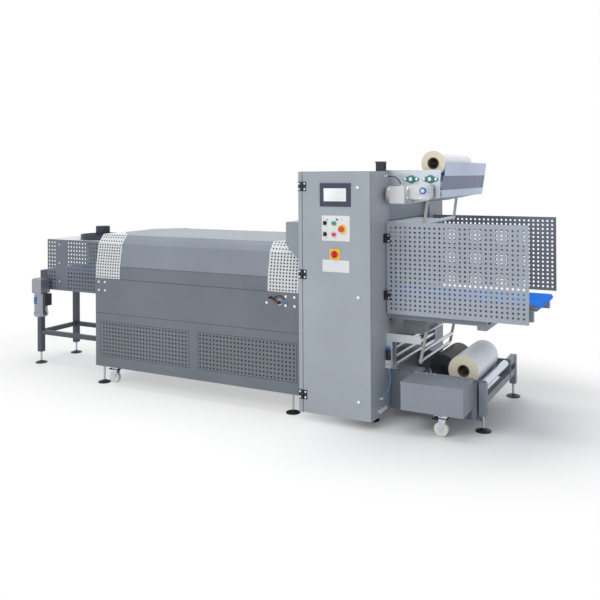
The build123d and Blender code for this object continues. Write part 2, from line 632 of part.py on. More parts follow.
def plate_outline():
    """Corners of a side plate of the film carriage, in X and Z."""
    return ((-SEALER_INSET, SIDE_PLATE_LOW), (-SEALER_INSET, SIDE_PLATE_TOP),
            (SIDE_PLATE_REACH, SIDE_PLATE_TOP), (FASCIA_LOW_X, FASCIA_BOTTOM),
            (SIDE_PLATE_REACH - SIDE_PLATE_TAPER, SIDE_PLATE_LOW + SIDE_PLATE_CORNER))


ROLLER_CENTRES = [(x, ROLLER_Z) for x in ROLLER_X] + [DRIVE_ROLLER]

# Side plates of the film carriage with their shaft holes, and the lower plates with three guide rollers
with BuildPart() as side_plates:
    for plate in (NEAR_PLATE, FAR_PLATE):
        with BuildSketch(Plane.XZ.offset(-plate[0])):
            with BuildLine():
                Polyline(*plate_outline(), close=True)
            make_face()
        extrude(amount=-SIDE_PLATE_THICK)
    for plate in (NEAR_PLATE, FAR_PLATE):
        for centre in ROLLER_CENTRES:
            bar_y(centre, plate, ROLLER_SHAFT_R + PIN_GAP, mode=Mode.SUBTRACT)
        bar_y(IDLER, plate, IDLER_SHAFT_R + PIN_GAP, mode=Mode.SUBTRACT)
        bar_y(UPPER_PIVOT, plate, DANCER_SHAFT_R + PIN_GAP, mode=Mode.SUBTRACT)
        block(LOWER_PLATE_X, plate, LOWER_PLATE_Z)
    for centre in GUIDE_ROLLERS:
        bar_y(centre, (NEAR_PLATE[1], FAR_PLATE[0]), GUIDE_ROLLER_R)
keep(side_plates, "side_plates")

# Flanged bearing units outside the plates, two at each side
with BuildPart() as bearing_units:
    for face_y, out in ((NEAR_PLATE[0], -1), (FAR_PLATE[1], 1)):
        for bearing_x in ROLLER_X:
            with BuildSketch(Plane.XZ.offset(-face_y)):
                with Locations((bearing_x, ROLLER_Z)):
                    Ellipse(*FLANGE_UNIT)
                    Circle(FLANGE_HUB_R)
            extrude(amount=-out * FLANGE_THICK)
            centre = (bearing_x, ROLLER_Z)
            flange_y = face_y + out * FLANGE_THICK
            bar_y(centre, sorted((flange_y, face_y + out * FLANGE_HUB)), FLANGE_HUB_R - FLANGE_HUB_STEP)
            for side in (-1, 1):
                bar_y((bearing_x + side * FLANGE_BOLT_X, ROLLER_Z),
                      sorted((flange_y, flange_y + out * FLANGE_BOLT)), FLANGE_BOLT_R)
            bar_y(centre, sorted((face_y, face_y + out * FLANGE_HUB)), ROLLER_SHAFT_R + PIN_GAP,
                  mode=Mode.SUBTRACT)
keep(bearing_units, "bearing_units")

# Feed rollers and the idler between the plates
ROLLER_SPAN = (NEAR_PLATE[1] + ROLLER_END_GAP, FAR_PLATE[0] - ROLLER_END_GAP)
with BuildPart() as feed_rollers:
    for centre in ROLLER_CENTRES:
        bar_y(centre, ROLLER_SPAN, FEED_ROLLER_R)
        bar_y(centre, (NEAR_PLATE[0] - SHAFT_REACH, FAR_PLATE[1] + SHAFT_REACH), ROLLER_SHAFT_R)
    bar_y(IDLER, ROLLER_SPAN, IDLER_R)
    bar_y(IDLER, (NEAR_PLATE[0], FAR_PLATE[1]), IDLER_SHAFT_R)
keep(feed_rollers, "feed_rollers")

# Gearmotor of the film feed: finned motor along X, terminal box in front, worm gearbox on the drive roller
MOTOR_Y = NEAR_PLATE[0] - MOTOR_SETBACK
MOTOR_Z = DRIVE_ROLLER[1] - MOTOR_DROP
WORM_X = around(DRIVE_ROLLER[0], WORM_BOX[0])
WORM_Z = (DRIVE_ROLLER[1] - WORM_BOX[1] + WORM_RISE, DRIVE_ROLLER[1] + WORM_RISE)
MOTOR_LEFT = WORM_X[0] - MOTOR_LENGTH - FLANGE_THICK
with BuildPart() as film_gearmotor:
    rod((MOTOR_LEFT, MOTOR_Y, MOTOR_Z), TO_RIGHT, MOTOR_R, MOTOR_COWL)
    fillet(film_gearmotor.edges().group_by(Axis.X)[0], MOTOR_R / 4)
    rod((MOTOR_LEFT + MOTOR_COWL, MOTOR_Y, MOTOR_Z), TO_RIGHT, MOTOR_R - 2 * MOTOR_FIN,
        MOTOR_LENGTH - MOTOR_COWL)
    fin_pitch = (MOTOR_LENGTH - MOTOR_COWL) / MOTOR_FINS
    for fin in range(MOTOR_FINS):
        rod((MOTOR_LEFT + MOTOR_COWL + (fin + 0.5) * fin_pitch, MOTOR_Y, MOTOR_Z), TO_RIGHT,
            MOTOR_R - MOTOR_FIN, fin_pitch / 2)
    rod((WORM_X[0] - FLANGE_THICK, MOTOR_Y, MOTOR_Z), TO_RIGHT, MOTOR_R, FLANGE_THICK)
    box_x = (MOTOR_LEFT + MOTOR_COWL, MOTOR_LEFT + MOTOR_COWL + TERMINAL_BOX[0])
    box_front = MOTOR_Y - MOTOR_R - TERMINAL_BOX[1]
    cut_block_y(box_x, (box_front, MOTOR_Y), around(MOTOR_Z, TERMINAL_BOX[2]), 2 * SHEET)
    worm_y = (NEAR_PLATE[0] - SHAFT_REACH - WORM_DEPTH, NEAR_PLATE[0] - SHAFT_REACH)
    cut_block_y(WORM_X, (worm_y[0] + WORM_CAP, worm_y[1]), WORM_Z, 4 * SHEET)
    bar_y(DRIVE_ROLLER, (worm_y[0] + WORM_CAP, NEAR_PLATE[0]), WORM_BOX[1] / 2 - WORM_CAP)
    bar_y(DRIVE_ROLLER, (worm_y[0], NEAR_PLATE[0]), WORM_CAP_R)
    bar_y(DRIVE_ROLLER, (NEAR_PLATE[0] - SHAFT_REACH - PIN_GAP, NEAR_PLATE[0]), ROLLER_SHAFT_R + PIN_GAP,
          mode=Mode.SUBTRACT)
    cable_end = Vector(*MOTOR_CABLE_POINTS[-1])
    cable_run = (cable_end - Vector(*MOTOR_CABLE_POINTS[-2])).normalized()
    rod(tuple(cable_end), tuple(cable_run), 2 * CABLE_R, cable_end.Z - MOTOR_Z)
keep(film_gearmotor, "film_gearmotor")

# Cable from the cabinet to the gearmotor's terminal box
with BuildPart() as motor_cable:
    with BuildLine():
        cable_line = tube_path(MOTOR_CABLE_POINTS)
    with BuildSketch(Plane(origin=cable_line @ 0, z_dir=cable_line % 0)):
        Circle(CABLE_R)
    sweep(path=cable_line)
print("motor_cable volume ratio", motor_cable.part.volume / (math.pi * CABLE_R ** 2 * cable_line.length))
keep(motor_cable, "motor_cable")

# Fascia of the film carriage, leaning out at the top, with a flange along its lower edge
with BuildPart() as fascia:
    with BuildSketch(Plane.XZ.offset(-FASCIA_NEAR)):
        with BuildLine():
            Polyline((FASCIA_LOW_X, FASCIA_BOTTOM), (FASCIA_TOP_X, FASCIA_TOP),
                     (FASCIA_TOP_X + SHEET, FASCIA_TOP), (FASCIA_LOW_X + SHEET, FASCIA_BOTTOM), close=True)
        make_face()
    extrude(amount=FASCIA_NEAR - FASCIA_FAR)
    flange_z = (FASCIA_BOTTOM, FASCIA_BOTTOM + FASCIA_FLANGE_THICK)
    for flange_y in ((NEAR_PLATE[1], FAR_PLATE[0]), (FAR_PLATE[1], FASCIA_FAR)):
        block((FASCIA_LOW_X - FASCIA_FLANGE, FASCIA_LOW_X + SHEET), flange_y, flange_z)
    block((FASCIA_LOW_X, FASCIA_LOW_X + SHEET), (NEAR_PLATE[1], FASCIA_NEAR), flange_z)
keep(fascia, "fascia")


def film_roll(name, centre, near_y, radius, length):
    """Wound film on its core, which stands a little out of the film at both ends."""
    with BuildPart() as built:
        bar_y(centre, (near_y, near_y + length), radius)
        bar_y(centre, (near_y - CORE_PROUD, near_y + length + CORE_PROUD), CORE_R + CORE_WALL)
        bar_y(centre, (near_y - CORE_PROUD, near_y + length + CORE_PROUD), CORE_R, mode=Mode.SUBTRACT)
    keep(built, name)


film_roll("top_film_roll", (TOP_ROLL_X, TOP_ROLL_Z), TOP_ROLL_NEAR, TOP_ROLL_R, TOP_ROLL_LENGTH)
film_roll("lower_film_roll", LOWER_ROLL, LOWER_ROLL_NEAR, LOWER_ROLL_R, LOWER_ROLL_LENGTH)


def dancer(name, pivot, end, shaft_span, rollers):
    """Two arms on a pivot shaft, with rollers between them at shares of the arm's length."""
    arm_length = math.hypot(end[0] - pivot[0], end[1] - pivot[1])
    lean = math.degrees(math.atan2(end[1] - pivot[1], end[0] - pivot[0]))
    with BuildPart() as built:
        for arm_y in (DANCER_NEAR, DANCER_FAR - ARM_THICK):
            with BuildSketch(Plane.XZ.offset(-arm_y)):
                with Locations(Location(((pivot[0] + end[0]) / 2, (pivot[1] + end[1]) / 2), lean)):
                    SlotCenterToCenter(arm_length, ARM_WIDTH)
            extrude(amount=-ARM_THICK)
        for share in rollers:
            centre = (pivot[0] + share * (end[0] - pivot[0]), pivot[1] + share * (end[1] - pivot[1]))
            bar_y(centre, (DANCER_NEAR + ARM_THICK, DANCER_FAR - ARM_THICK), DANCER_ROLLER_R)
            bar_y(centre, (DANCER_NEAR - HINGE_THICK, DANCER_FAR + HINGE_THICK), DANCER_ROLLER_R / 2)
        bar_y(pivot, shaft_span, DANCER_SHAFT_R)
    keep(built, name)


dancer("upper_dancer", UPPER_PIVOT, UPPER_END, (NEAR_PLATE[0], FAR_PLATE[1]), (1.0,))
dancer("lower_dancer", LOWER_PIVOT, LOWER_END, (DANCER_NEAR - HINGE_THICK, DANCER_FAR + HINGE_THICK),
       (SECOND_ROLLER, 1.0))

def pulleys(places_x, axis_z, belt_r, belt_y, shaft_y):
    """Pulleys inside a belt, on shafts that reach into the plates that carry them."""
    for pulley_x in places_x:
        bar_y((pulley_x, axis_z), belt_y, belt_r - BELT_THICK - SEAT_GAP)
        bar_y((pulley_x, axis_z), shaft_y, PULLEY_SHAFT_R)


# Infeed conveyor: inner plates through the sealer, side beams, pan, beds, pulleys, cross block and drive box
BELT_Y = around(LINE_Y, BELT_WIDTH)
INNER_HALF = LINE_Y - INNER_NEAR
BED_Z = (INFEED_TOP - BELT_THICK - BED_THICK, INFEED_TOP - BELT_THICK)
PULLEY_Z = INFEED_TOP - NOSE_R
BELT_RUNS = ((BAR_X + BAR_WIDTH / 2 + MOVE_GAP, INFEED_END),
             (-CABINET_WIDTH + 2 * MOVE_GAP, BAR_X - BAR_WIDTH / 2 - MOVE_GAP))
LUG_NEAR = DANCER_NEAR + ARM_THICK + MOVE_GAP
with BuildPart() as infeed_conveyor:
    for side in (-1, 1):
        plate_y = sorted((LINE_Y + side * INNER_HALF, LINE_Y + side * (INNER_HALF - INNER_PLATE)))
        block((-CABINET_WIDTH + 2 * MOVE_GAP, -SEALER_INSET), plate_y, (BASE_TOP, BED_Z[1]))
        block((-SEALER_INSET, DEEP_END), plate_y, (DEEP_BOTTOM, BED_Z[1]))
        block((DEEP_END, NOSE_PLATE_END), plate_y, (NOSE_BOTTOM, BED_Z[1]))
        beam_y = sorted((LINE_Y + side * INNER_HALF, LINE_Y + side * (INNER_HALF + SIDE_BEAM)))
        block((0, DEEP_END), beam_y, (DEEP_BOTTOM, SIDE_BEAM_TOP))
        block((DEEP_END, NOSE_PLATE_END), beam_y, (NOSE_BOTTOM, SIDE_BEAM_TOP - MOVE_GAP))
    block(around(BAR_X, BAR_WIDTH + 2 * MOVE_GAP), around(LINE_Y, 2 * INNER_HALF),
          (LOWER_BAR_Z[0] - MOVE_GAP, BED_Z[1]), mode=Mode.SUBTRACT)
    inner_y = around(LINE_Y, BELT_WIDTH + 2 * BELT_EDGE_GAP)
    block((0, DEEP_END), inner_y, (DEEP_BOTTOM, DEEP_BOTTOM + BED_THICK))
    for run in BELT_RUNS:
        block((run[0] + 2 * NOSE_R, run[1] - 2 * NOSE_R), inner_y, BED_Z)
    block((DEEP_END - CROSS_BLOCK[0], DEEP_END), around(LINE_Y, 2 * (INNER_HALF + SIDE_BEAM)),
          (DEEP_BOTTOM - CROSS_BLOCK[1], DEEP_BOTTOM))
    block(DRIVE_BOX_X, (LUG_NEAR + LUG_THICK, LUG_NEAR + LUG_THICK + DRIVE_BOX_LENGTH),
          (DRIVE_BOX_BOTTOM, DEEP_BOTTOM))
    for lug_y in (LUG_NEAR, LINE_Y + INNER_HALF - INNER_PLATE - LUG_THICK):
        block(around(LOWER_PIVOT[0], LUG_WIDTH), (lug_y, lug_y + LUG_THICK), (LOWER_PIVOT[1], DEEP_BOTTOM))
        bar_y(LOWER_PIVOT, (lug_y, lug_y + LUG_THICK), LUG_WIDTH / 2)
    for lug_y in (LUG_NEAR, LINE_Y + INNER_HALF - INNER_PLATE - LUG_THICK):
        bar_y(LOWER_PIVOT, (lug_y, lug_y + LUG_THICK), DANCER_SHAFT_R + PIN_GAP, mode=Mode.SUBTRACT)
    for run in BELT_RUNS:
        pulleys((run[0] + NOSE_R, run[1] - NOSE_R), PULLEY_Z, NOSE_R, BELT_Y, around(LINE_Y, 2 * INNER_HALF))
keep(infeed_conveyor, "infeed_conveyor")


def belt_loop(x_span, y_span, top, radius):
    """One belt as a closed loop round two pulleys."""
    middle = ((x_span[0] + x_span[1]) / 2, top - radius)
    length = x_span[1] - x_span[0]
    with BuildSketch(Plane.XZ.offset(-y_span[0])) as section:
        with Locations(middle):
            SlotOverall(length, 2 * radius)
            SlotOverall(length - 2 * BELT_THICK, 2 * radius - 2 * BELT_THICK, mode=Mode.SUBTRACT)
    extrude(section.sketch, amount=y_span[0] - y_span[1])


# Blue belts of the infeed and of the sealer
with BuildPart() as infeed_belt:
    for run in BELT_RUNS:
        belt_loop(run, BELT_Y, INFEED_TOP, NOSE_R)
keep(infeed_belt, "infeed_belt")

# Belts of the tunnel and of the outfeed
TUNNEL_BELT_TOP = HOOD_BOTTOM - TUNNEL_BELT_GAP
TUNNEL_BELT_X = (TUNNEL_LEFT + MOVE_GAP, TUNNEL_RIGHT - MOVE_GAP)
TUNNEL_BELT_Y = around(TUNNEL_MID, PASSAGE_WIDTH - 4 * BELT_EDGE_GAP)
OUTFEED_BELT_X = (OUTFEED_LEFT, TUNNEL_LEFT - MOVE_GAP)
with BuildPart() as outfeed_belt:
    belt_loop(TUNNEL_BELT_X, TUNNEL_BELT_Y, TUNNEL_BELT_TOP, TUNNEL_BELT_R)
    belt_loop(OUTFEED_BELT_X, around(TUNNEL_MID, OUTFEED_BELT_WIDTH), OUTFEED_TOP, OUTFEED_PULLEY_R)
keep(outfeed_belt, "outfeed_belt")

def guard_axis_y(panel_y, out):
    """Y of a guard's hinge axis, outside its panel."""
    return panel_y + out * (SHEET / 2 + KNUCKLE_R)


def guard(name, panel_y, out):
    """A perforated guard panel with folded edges and its moving hinge leaves."""
    axis_y = guard_axis_y(panel_y, out)
    face_y = panel_y + out * SHEET / 2
    with BuildPart() as built:
        block((2 * KNUCKLE_R, GUARD_END), around(panel_y, SHEET), (GUARD_BOTTOM, GUARD_TOP))
        for end_x in (2 * KNUCKLE_R, GUARD_END - SHEET):
            block((end_x, end_x + SHEET), sorted((panel_y, panel_y - out * GUARD_FOLD)),
                  (GUARD_BOTTOM, GUARD_TOP))
        for hinge_z in GUARD_HINGE_Z:
            block((KNUCKLE_R, 2 * KNUCKLE_R + HINGE_LEAF), sorted((face_y, face_y + out * HINGE_THICK)),
                  around(hinge_z, HINGE_HEIGHT))
            for side in (-1, 1):
                block((0, 2 * KNUCKLE_R + PIN_GAP), sorted((face_y, face_y + out * 2 * KNUCKLE_R)),
                      around(hinge_z + side * HINGE_HEIGHT / 3, HINGE_HEIGHT / 3 + PIN_GAP),
                      mode=Mode.SUBTRACT)
            rod((KNUCKLE_R, axis_y, hinge_z - HINGE_HEIGHT / 6), UP, KNUCKLE_R, HINGE_HEIGHT / 3)
    keep(built, name)


guard("front_guard", FRONT_GUARD_Y, -1)
guard("rear_guard", REAR_GUARD_Y, 1)

# Fixed leaves of the cabinet door's and the guards' hinges
with BuildPart() as hinge_leaves:
    for hinge_z in DOOR_HINGE_Z:
        block((DOOR_SEAM_X - KNUCKLE_R - HINGE_LEAF + PIN_GAP, DOOR_SEAM_X - KNUCKLE_R / 2),
              (-HINGE_THICK, 0), around(hinge_z, HINGE_HEIGHT))
        block((DOOR_SEAM_X - KNUCKLE_R - PIN_GAP, DOOR_SEAM_X), (-HINGE_THICK, 0),
              around(hinge_z, HINGE_HEIGHT / 3 + 2 * PIN_GAP), mode=Mode.SUBTRACT)
        for side in (-1, 1):
            rod((DOOR_SEAM_X, DOOR_AXIS_Y, hinge_z + side * HINGE_HEIGHT / 3 - HINGE_HEIGHT / 6 + PIN_GAP),
                UP, KNUCKLE_R, HINGE_HEIGHT / 3 - 2 * PIN_GAP)
    for panel_y, out in ((FRONT_GUARD_Y, -1), (REAR_GUARD_Y, 1)):
        axis_y = guard_axis_y(panel_y, out)
        for hinge_z in GUARD_HINGE_Z:
            block((0, HINGE_THICK), sorted((axis_y, axis_y + out * (KNUCKLE_R + HINGE_LEAF))),
                  around(hinge_z, HINGE_HEIGHT))
            block((0, HINGE_THICK), sorted((axis_y - out * KNUCKLE_R, axis_y + out * (KNUCKLE_R + PIN_GAP))),
                  around(hinge_z, HINGE_HEIGHT / 3 + 2 * PIN_GAP), mode=Mode.SUBTRACT)
            for side in (-1, 1):
                rod((KNUCKLE_R, axis_y, hinge_z + side * HINGE_HEIGHT / 3 - HINGE_HEIGHT / 6 + PIN_GAP),
                    UP, KNUCKLE_R, HINGE_HEIGHT / 3 - 2 * PIN_GAP)
keep(hinge_leaves, "hinge_leaves")

# Unwinder frame: walls, corner posts, legs and beams in one weldment, with the rollers under the film roll
LEG_SPAN = around(LEG_X, LEG_SIZE)
with BuildPart() as unwinder_frame:
    block((-SEALER_INSET, LEG_X), FRONT_WALL, (FRONT_WALL_BOTTOM, WALL_TOP))
    block((-SEALER_INSET, LEG_SPAN[1]), REAR_WALL, (REAR_WALL_BOTTOM, WALL_TOP))
    for leg_y in (NEAR_LEG_Y, FAR_LEG_Y):
        block(LEG_SPAN, around(leg_y, LEG_SIZE), (LEG_BOTTOM, LEG_TOP))
    block(around(LEG_X, LOW_BEAM[0]), (NEAR_LEG_Y, FAR_LEG_Y), LOW_BEAM[1:])
    block(around(LEG_X, LOW_BEAM[0]), (REAR_WALL[1], FAR_LEG_Y), (LEG_TOP - LEG_SIZE, LEG_TOP))
    for post_x in (BOX_X[0], BOX_X[1] - CORNER_POST / 2):
        block((post_x, post_x + CORNER_POST), (BOX_Y[1], FRONT_WALL[0]), (POST_BOTTOM, LEG_TOP))
        block((post_x + SHEET, post_x + CORNER_POST - SHEET), (BOX_Y[1], FRONT_WALL[0] - SHEET),
              (POST_BOTTOM, LEG_TOP), mode=Mode.SUBTRACT)
        block((post_x, post_x + CORNER_POST), (BOX_Y[1], BOX_Y[1] + SHEET), (POST_BOTTOM, LEG_TOP))
    bar_y(DRUM, (FRONT_WALL[0], REAR_WALL[1]), DRUM_SHAFT_R + PIN_GAP, mode=Mode.SUBTRACT)
    for centre in CRADLE_ROLLERS:
        bar_y(centre, (FRONT_WALL[1] + MOVE_GAP, REAR_WALL[0] - MOVE_GAP), CRADLE_R)
        bar_y(centre, (FRONT_WALL[1], REAR_WALL[0]), SILVER_SHAFT_R)
    bar_y(SILVER_ROLLER, (NEAR_LEG_Y, REAR_WALL[1]), SILVER_SHAFT_R + PIN_GAP, mode=Mode.SUBTRACT)
keep(unwinder_frame, "unwinder_frame")

# Box in front of the unwinder, under its lid
with BuildPart() as front_box:
    block(BOX_X, BOX_Y, (BOX_Z[0], BOX_Z[1] - SHEET))
    block((BOX_X[0] - BOX_LID_PROUD, BOX_X[1] + BOX_LID_PROUD), (BOX_Y[0] - BOX_LID_PROUD, BOX_Y[1]),
          (BOX_Z[1] - BOX_LID, BOX_Z[1]))
    caster_plate(*CASTER_SPOTS["right"])
keep(front_box, "front_box")

# Drum and silver roller of the unwinder, on shafts in the walls
with BuildPart() as dark_drum:
    bar_y(DRUM, (FRONT_WALL[1] + DRUM_START, REAR_WALL[0] - MOVE_GAP), DRUM_R)
    chamfer(dark_drum.edges(), SHEET)
    bar_y(DRUM, (FRONT_WALL[0], REAR_WALL[1]), DRUM_SHAFT_R)
keep(dark_drum, "dark_drum")

with BuildPart() as silver_roller:
    bar_y(SILVER_ROLLER, (FRONT_WALL[1], REAR_WALL[0] - SILVER_END_GAP), SILVER_R)
    bar_y(SILVER_ROLLER, (NEAR_LEG_Y + PIN_GAP, REAR_WALL[1]), SILVER_SHAFT_R)
keep(silver_roller, "silver_roller")

# Valve bracket: a flange on the cabinet, an upright and an arm under the guard
with BuildPart() as valve_bracket:
    block((0, BRACKET_REACH), (BRACKET_Y - SHEET, BRACKET_Y), BRACKET_Z)
    block((0, BRACKET_LEG), (BRACKET_Y - SHEET, BRACKET_Y), (BRACKET_LEG_BOTTOM, BRACKET_Z[0]))
    block((0, SHEET), (BRACKET_Y, BRACKET_Y + BRACKET_FLANGE), (BRACKET_LEG_BOTTOM, BRACKET_Z[1]))
keep(valve_bracket, "valve_bracket")

# Air valve on the bracket: block with its port, body, knob and the socket of the hose
VALVE_Y = (BRACKET_Y - SHEET - VALVE_DEPTH, BRACKET_Y - SHEET)
VALVE_MID = ((VALVE_X[0] + VALVE_X[1]) / 2, (VALVE_Y[0] + VALVE_Y[1]) / 2)
hose_start = Vector(*HOSE_POINTS[0])
hose_down = (Vector(*HOSE_POINTS[1]) - hose_start).normalized()
with BuildPart() as air_valve:
    block(VALVE_X, VALVE_Y, (BRACKET_LEG_BOTTOM, VALVE_BLOCK_TOP))
    rod((VALVE_MID[0], VALVE_Y[0], (BRACKET_LEG_BOTTOM + VALVE_BLOCK_TOP) / 2), TO_REAR, VALVE_PORT_R,
        VALVE_DEPTH / 3, mode=Mode.SUBTRACT)
    rod((*VALVE_MID, VALVE_BLOCK_TOP), UP, VALVE_BODY_R, VALVE_BODY_TOP - VALVE_BLOCK_TOP)
    rod((*VALVE_MID, VALVE_BODY_TOP), UP, VALVE_KNOB_R, VALVE_KNOB)
    collar_start = hose_start - hose_down * HOSE_COLLAR * 1.5
    rod(tuple(collar_start), tuple(hose_down), HOSE_COLLAR_R, HOSE_COLLAR * 1.5)
keep(air_valve, "air_valve")

# Blue air hose from the valve to the elbow on the cabinet
with BuildPart() as air_hose:
    with BuildLine():
        hose_line = tube_path(HOSE_POINTS)
    with BuildSketch(Plane(origin=hose_line @ 0, z_dir=hose_line % 0)):
        Circle(HOSE_R)
    sweep(path=hose_line)
print("air_hose volume ratio", air_hose.part.volume / (math.pi * HOSE_R ** 2 * hose_line.length))
keep(air_hose, "air_hose")

# Tunnel: lower housing with pockets behind the service panels
POST_X = TUNNEL_RIGHT - PANEL_POST[0]
PANEL_X = ((TUNNEL_LEFT + PANEL_MARGIN, POST_X - PANEL_POST[1]), (POST_X, TUNNEL_RIGHT - PANEL_MARGIN))
with BuildPart() as tunnel_base:
    block((TUNNEL_LEFT, TUNNEL_RIGHT), (TUNNEL_FRONT, TUNNEL_REAR), (TUNNEL_BOTTOM, TUNNEL_SEAM))
    for panel in PANEL_X:
        for pocket in ((TUNNEL_FRONT, TUNNEL_FRONT + PANEL_POCKET),
                       (TUNNEL_REAR - PANEL_POCKET, TUNNEL_REAR)):
            block(panel, pocket, PANEL_Z, mode=Mode.SUBTRACT)
    caster_plate(*CASTER_SPOTS["left"])
keep(tunnel_base, "tunnel_base")

with BuildPart() as service_panels:
    for panel in PANEL_X:
        for skin in ((TUNNEL_FRONT, TUNNEL_FRONT + SHEET), (TUNNEL_REAR - SHEET, TUNNEL_REAR)):
            block(panel, skin, PANEL_Z)
keep(service_panels, "service_panels")

# Tunnel body with the trough of the conveyor and the bed under the belt
with BuildPart() as tunnel_body:
    block((TUNNEL_LEFT, TUNNEL_RIGHT), (TUNNEL_FRONT, TUNNEL_REAR), (TUNNEL_SEAM, HOOD_BOTTOM))
    block((TUNNEL_LEFT, TUNNEL_RIGHT), around(TUNNEL_MID, PASSAGE_WIDTH),
          (HOOD_BOTTOM - TROUGH_DEPTH, HOOD_BOTTOM), mode=Mode.SUBTRACT)
    bed_z = (TUNNEL_BELT_TOP - 2 * TUNNEL_BELT_R + BELT_THICK + BED_THICK, TUNNEL_BELT_TOP - BELT_THICK)
    block((TUNNEL_BELT_X[0] + 2 * TUNNEL_BELT_R, TUNNEL_BELT_X[1] - 2 * TUNNEL_BELT_R),
          around(TUNNEL_MID, PASSAGE_WIDTH), (bed_z[1] - BED_THICK, bed_z[1]))
    pulleys((TUNNEL_BELT_X[0] + TUNNEL_BELT_R, TUNNEL_BELT_X[1] - TUNNEL_BELT_R),
            TUNNEL_BELT_TOP - TUNNEL_BELT_R, TUNNEL_BELT_R,
            around(TUNNEL_MID, PASSAGE_WIDTH - 8 * BELT_EDGE_GAP), around(TUNNEL_MID, PASSAGE_WIDTH))
keep(tunnel_body, "tunnel_body")


def hood_outline(inset):
    """Points of the hood's section, inset by a distance, from front foot over the top to rear foot."""
    front = [(TUNNEL_FRONT + inset, HOOD_BOTTOM)]
    front += [(TUNNEL_FRONT + dy + inset, z) for dy, z in (HOOD_BEND_LOW, HOOD_BEND_MID, HOOD_BEND_HIGH)]
    front += [(TUNNEL_FRONT + HOOD_EDGE + inset, HOOD_TOP - inset)]
    rear = [(TUNNEL_FRONT + TUNNEL_REAR - y, z) for y, z in reversed(front)]
    return front + rear


def hood_prism(inset, x_span, mode=Mode.ADD):
    """The hood's section carried along X."""
    with BuildSketch(Plane.YZ.offset(x_span[0])) as section:
        with BuildLine():
            Polyline(*hood_outline(inset), close=True)
        make_face()
    extrude(section.sketch, amount=x_span[1] - x_span[0], mode=mode)


# Hood over the product passage
with BuildPart() as tunnel_hood:
    hood_prism(SHEET, (TUNNEL_LEFT, TUNNEL_RIGHT))
    block((TUNNEL_LEFT, TUNNEL_RIGHT), around(TUNNEL_MID, PASSAGE_WIDTH), (HOOD_BOTTOM, PASSAGE_TOP),
          mode=Mode.SUBTRACT)
keep(tunnel_hood, "tunnel_hood")

# White end covers bent over the hood, cut diagonally on its flat top
LEFT_COVER = (TUNNEL_LEFT + LEFT_COVER_INSET, TUNNEL_LEFT + LEFT_COVER_INSET + COVER_WIDTH)
RIGHT_COVER = (TUNNEL_RIGHT - RIGHT_COVER_INSET - COVER_WIDTH, TUNNEL_RIGHT - RIGHT_COVER_INSET)
with BuildPart() as end_covers:
    for cover, outer_x, inner_x in ((LEFT_COVER, LEFT_COVER[0], LEFT_COVER[1]),
                                    (RIGHT_COVER, RIGHT_COVER[1], RIGHT_COVER[0])):
        hood_prism(0, cover)
        edge = TUNNEL_FRONT + HOOD_EDGE
        far_edge = TUNNEL_REAR - HOOD_EDGE
        with BuildSketch(Plane.XY.offset(HOOD_TOP - SHEET)):
            with BuildLine():
                Polyline((inner_x, edge), (outer_x, edge + COVER_TOP_REACH),
                         (outer_x, far_edge - COVER_TOP_REACH), (inner_x, far_edge), close=True)
            make_face()
        extrude(amount=2 * SHEET, mode=Mode.SUBTRACT)
    hood_prism(SHEET, (TUNNEL_LEFT, TUNNEL_RIGHT), mode=Mode.SUBTRACT)
keep(end_covers, "end_covers")

# Connection housing between hood and sealer, fitted over the hood, its lower front corners cut off
CONNECTION_LEFT = TUNNEL_RIGHT - CONNECTION_WIDTH
with BuildPart() as connection_housing:
    with BuildSketch(Plane.XZ.offset(-TUNNEL_FRONT)):
        with BuildLine():
            Polyline((CONNECTION_LEFT, CONNECTION_TOP), (TUNNEL_RIGHT, CONNECTION_TOP),
                     (TUNNEL_RIGHT, CONNECTION_CORNER[1]),
                     (CONNECTION_LEFT + CONNECTION_CORNER[0], CONNECTION_CORNER[1]),
                     (CONNECTION_LEFT, CONNECTION_EDGE), close=True)
        make_face()
    extrude(amount=-TUNNEL_DEPTH)
    hood_prism(0, (CONNECTION_LEFT, TUNNEL_RIGHT), mode=Mode.SUBTRACT)
keep(connection_housing, "connection_housing")

# Damper lever with its grip
LEVER_X = TUNNEL_RIGHT - LEVER_HUB[0]
with BuildPart() as damper_lever:
    rod((LEVER_X, TUNNEL_FRONT - SEAT_GAP, LEVER_HUB[1]), TO_FRONT, LEVER_HUB_R, LEVER_HUB_HEIGHT)
    chamfer(damper_lever.edges().group_by(Axis.Y)[0], BUTTON_EDGE)
    arm_y = TUNNEL_FRONT - LEVER_HUB_HEIGHT + LEVER_ARM[1]
    lever_tip = (LEVER_X + LEVER_LENGTH * math.cos(math.radians(LEVER_ANGLE)),
                 LEVER_HUB[1] + LEVER_LENGTH * math.sin(math.radians(LEVER_ANGLE)))
    with BuildSketch(Plane.XZ.offset(-arm_y)):
        arm_middle = ((LEVER_X + lever_tip[0]) / 2, (LEVER_HUB[1] + lever_tip[1]) / 2)
        with Locations(Location(arm_middle, LEVER_ANGLE)):
            SlotCenterToCenter(LEVER_LENGTH, LEVER_ARM[0])
    extrude(amount=LEVER_ARM[1])
    rod((lever_tip[0], arm_y, lever_tip[1]), TO_FRONT, LEVER_GRIP_R, LEVER_HUB_HEIGHT + LEVER_ARM[1])
keep(damper_lever, "damper_lever")

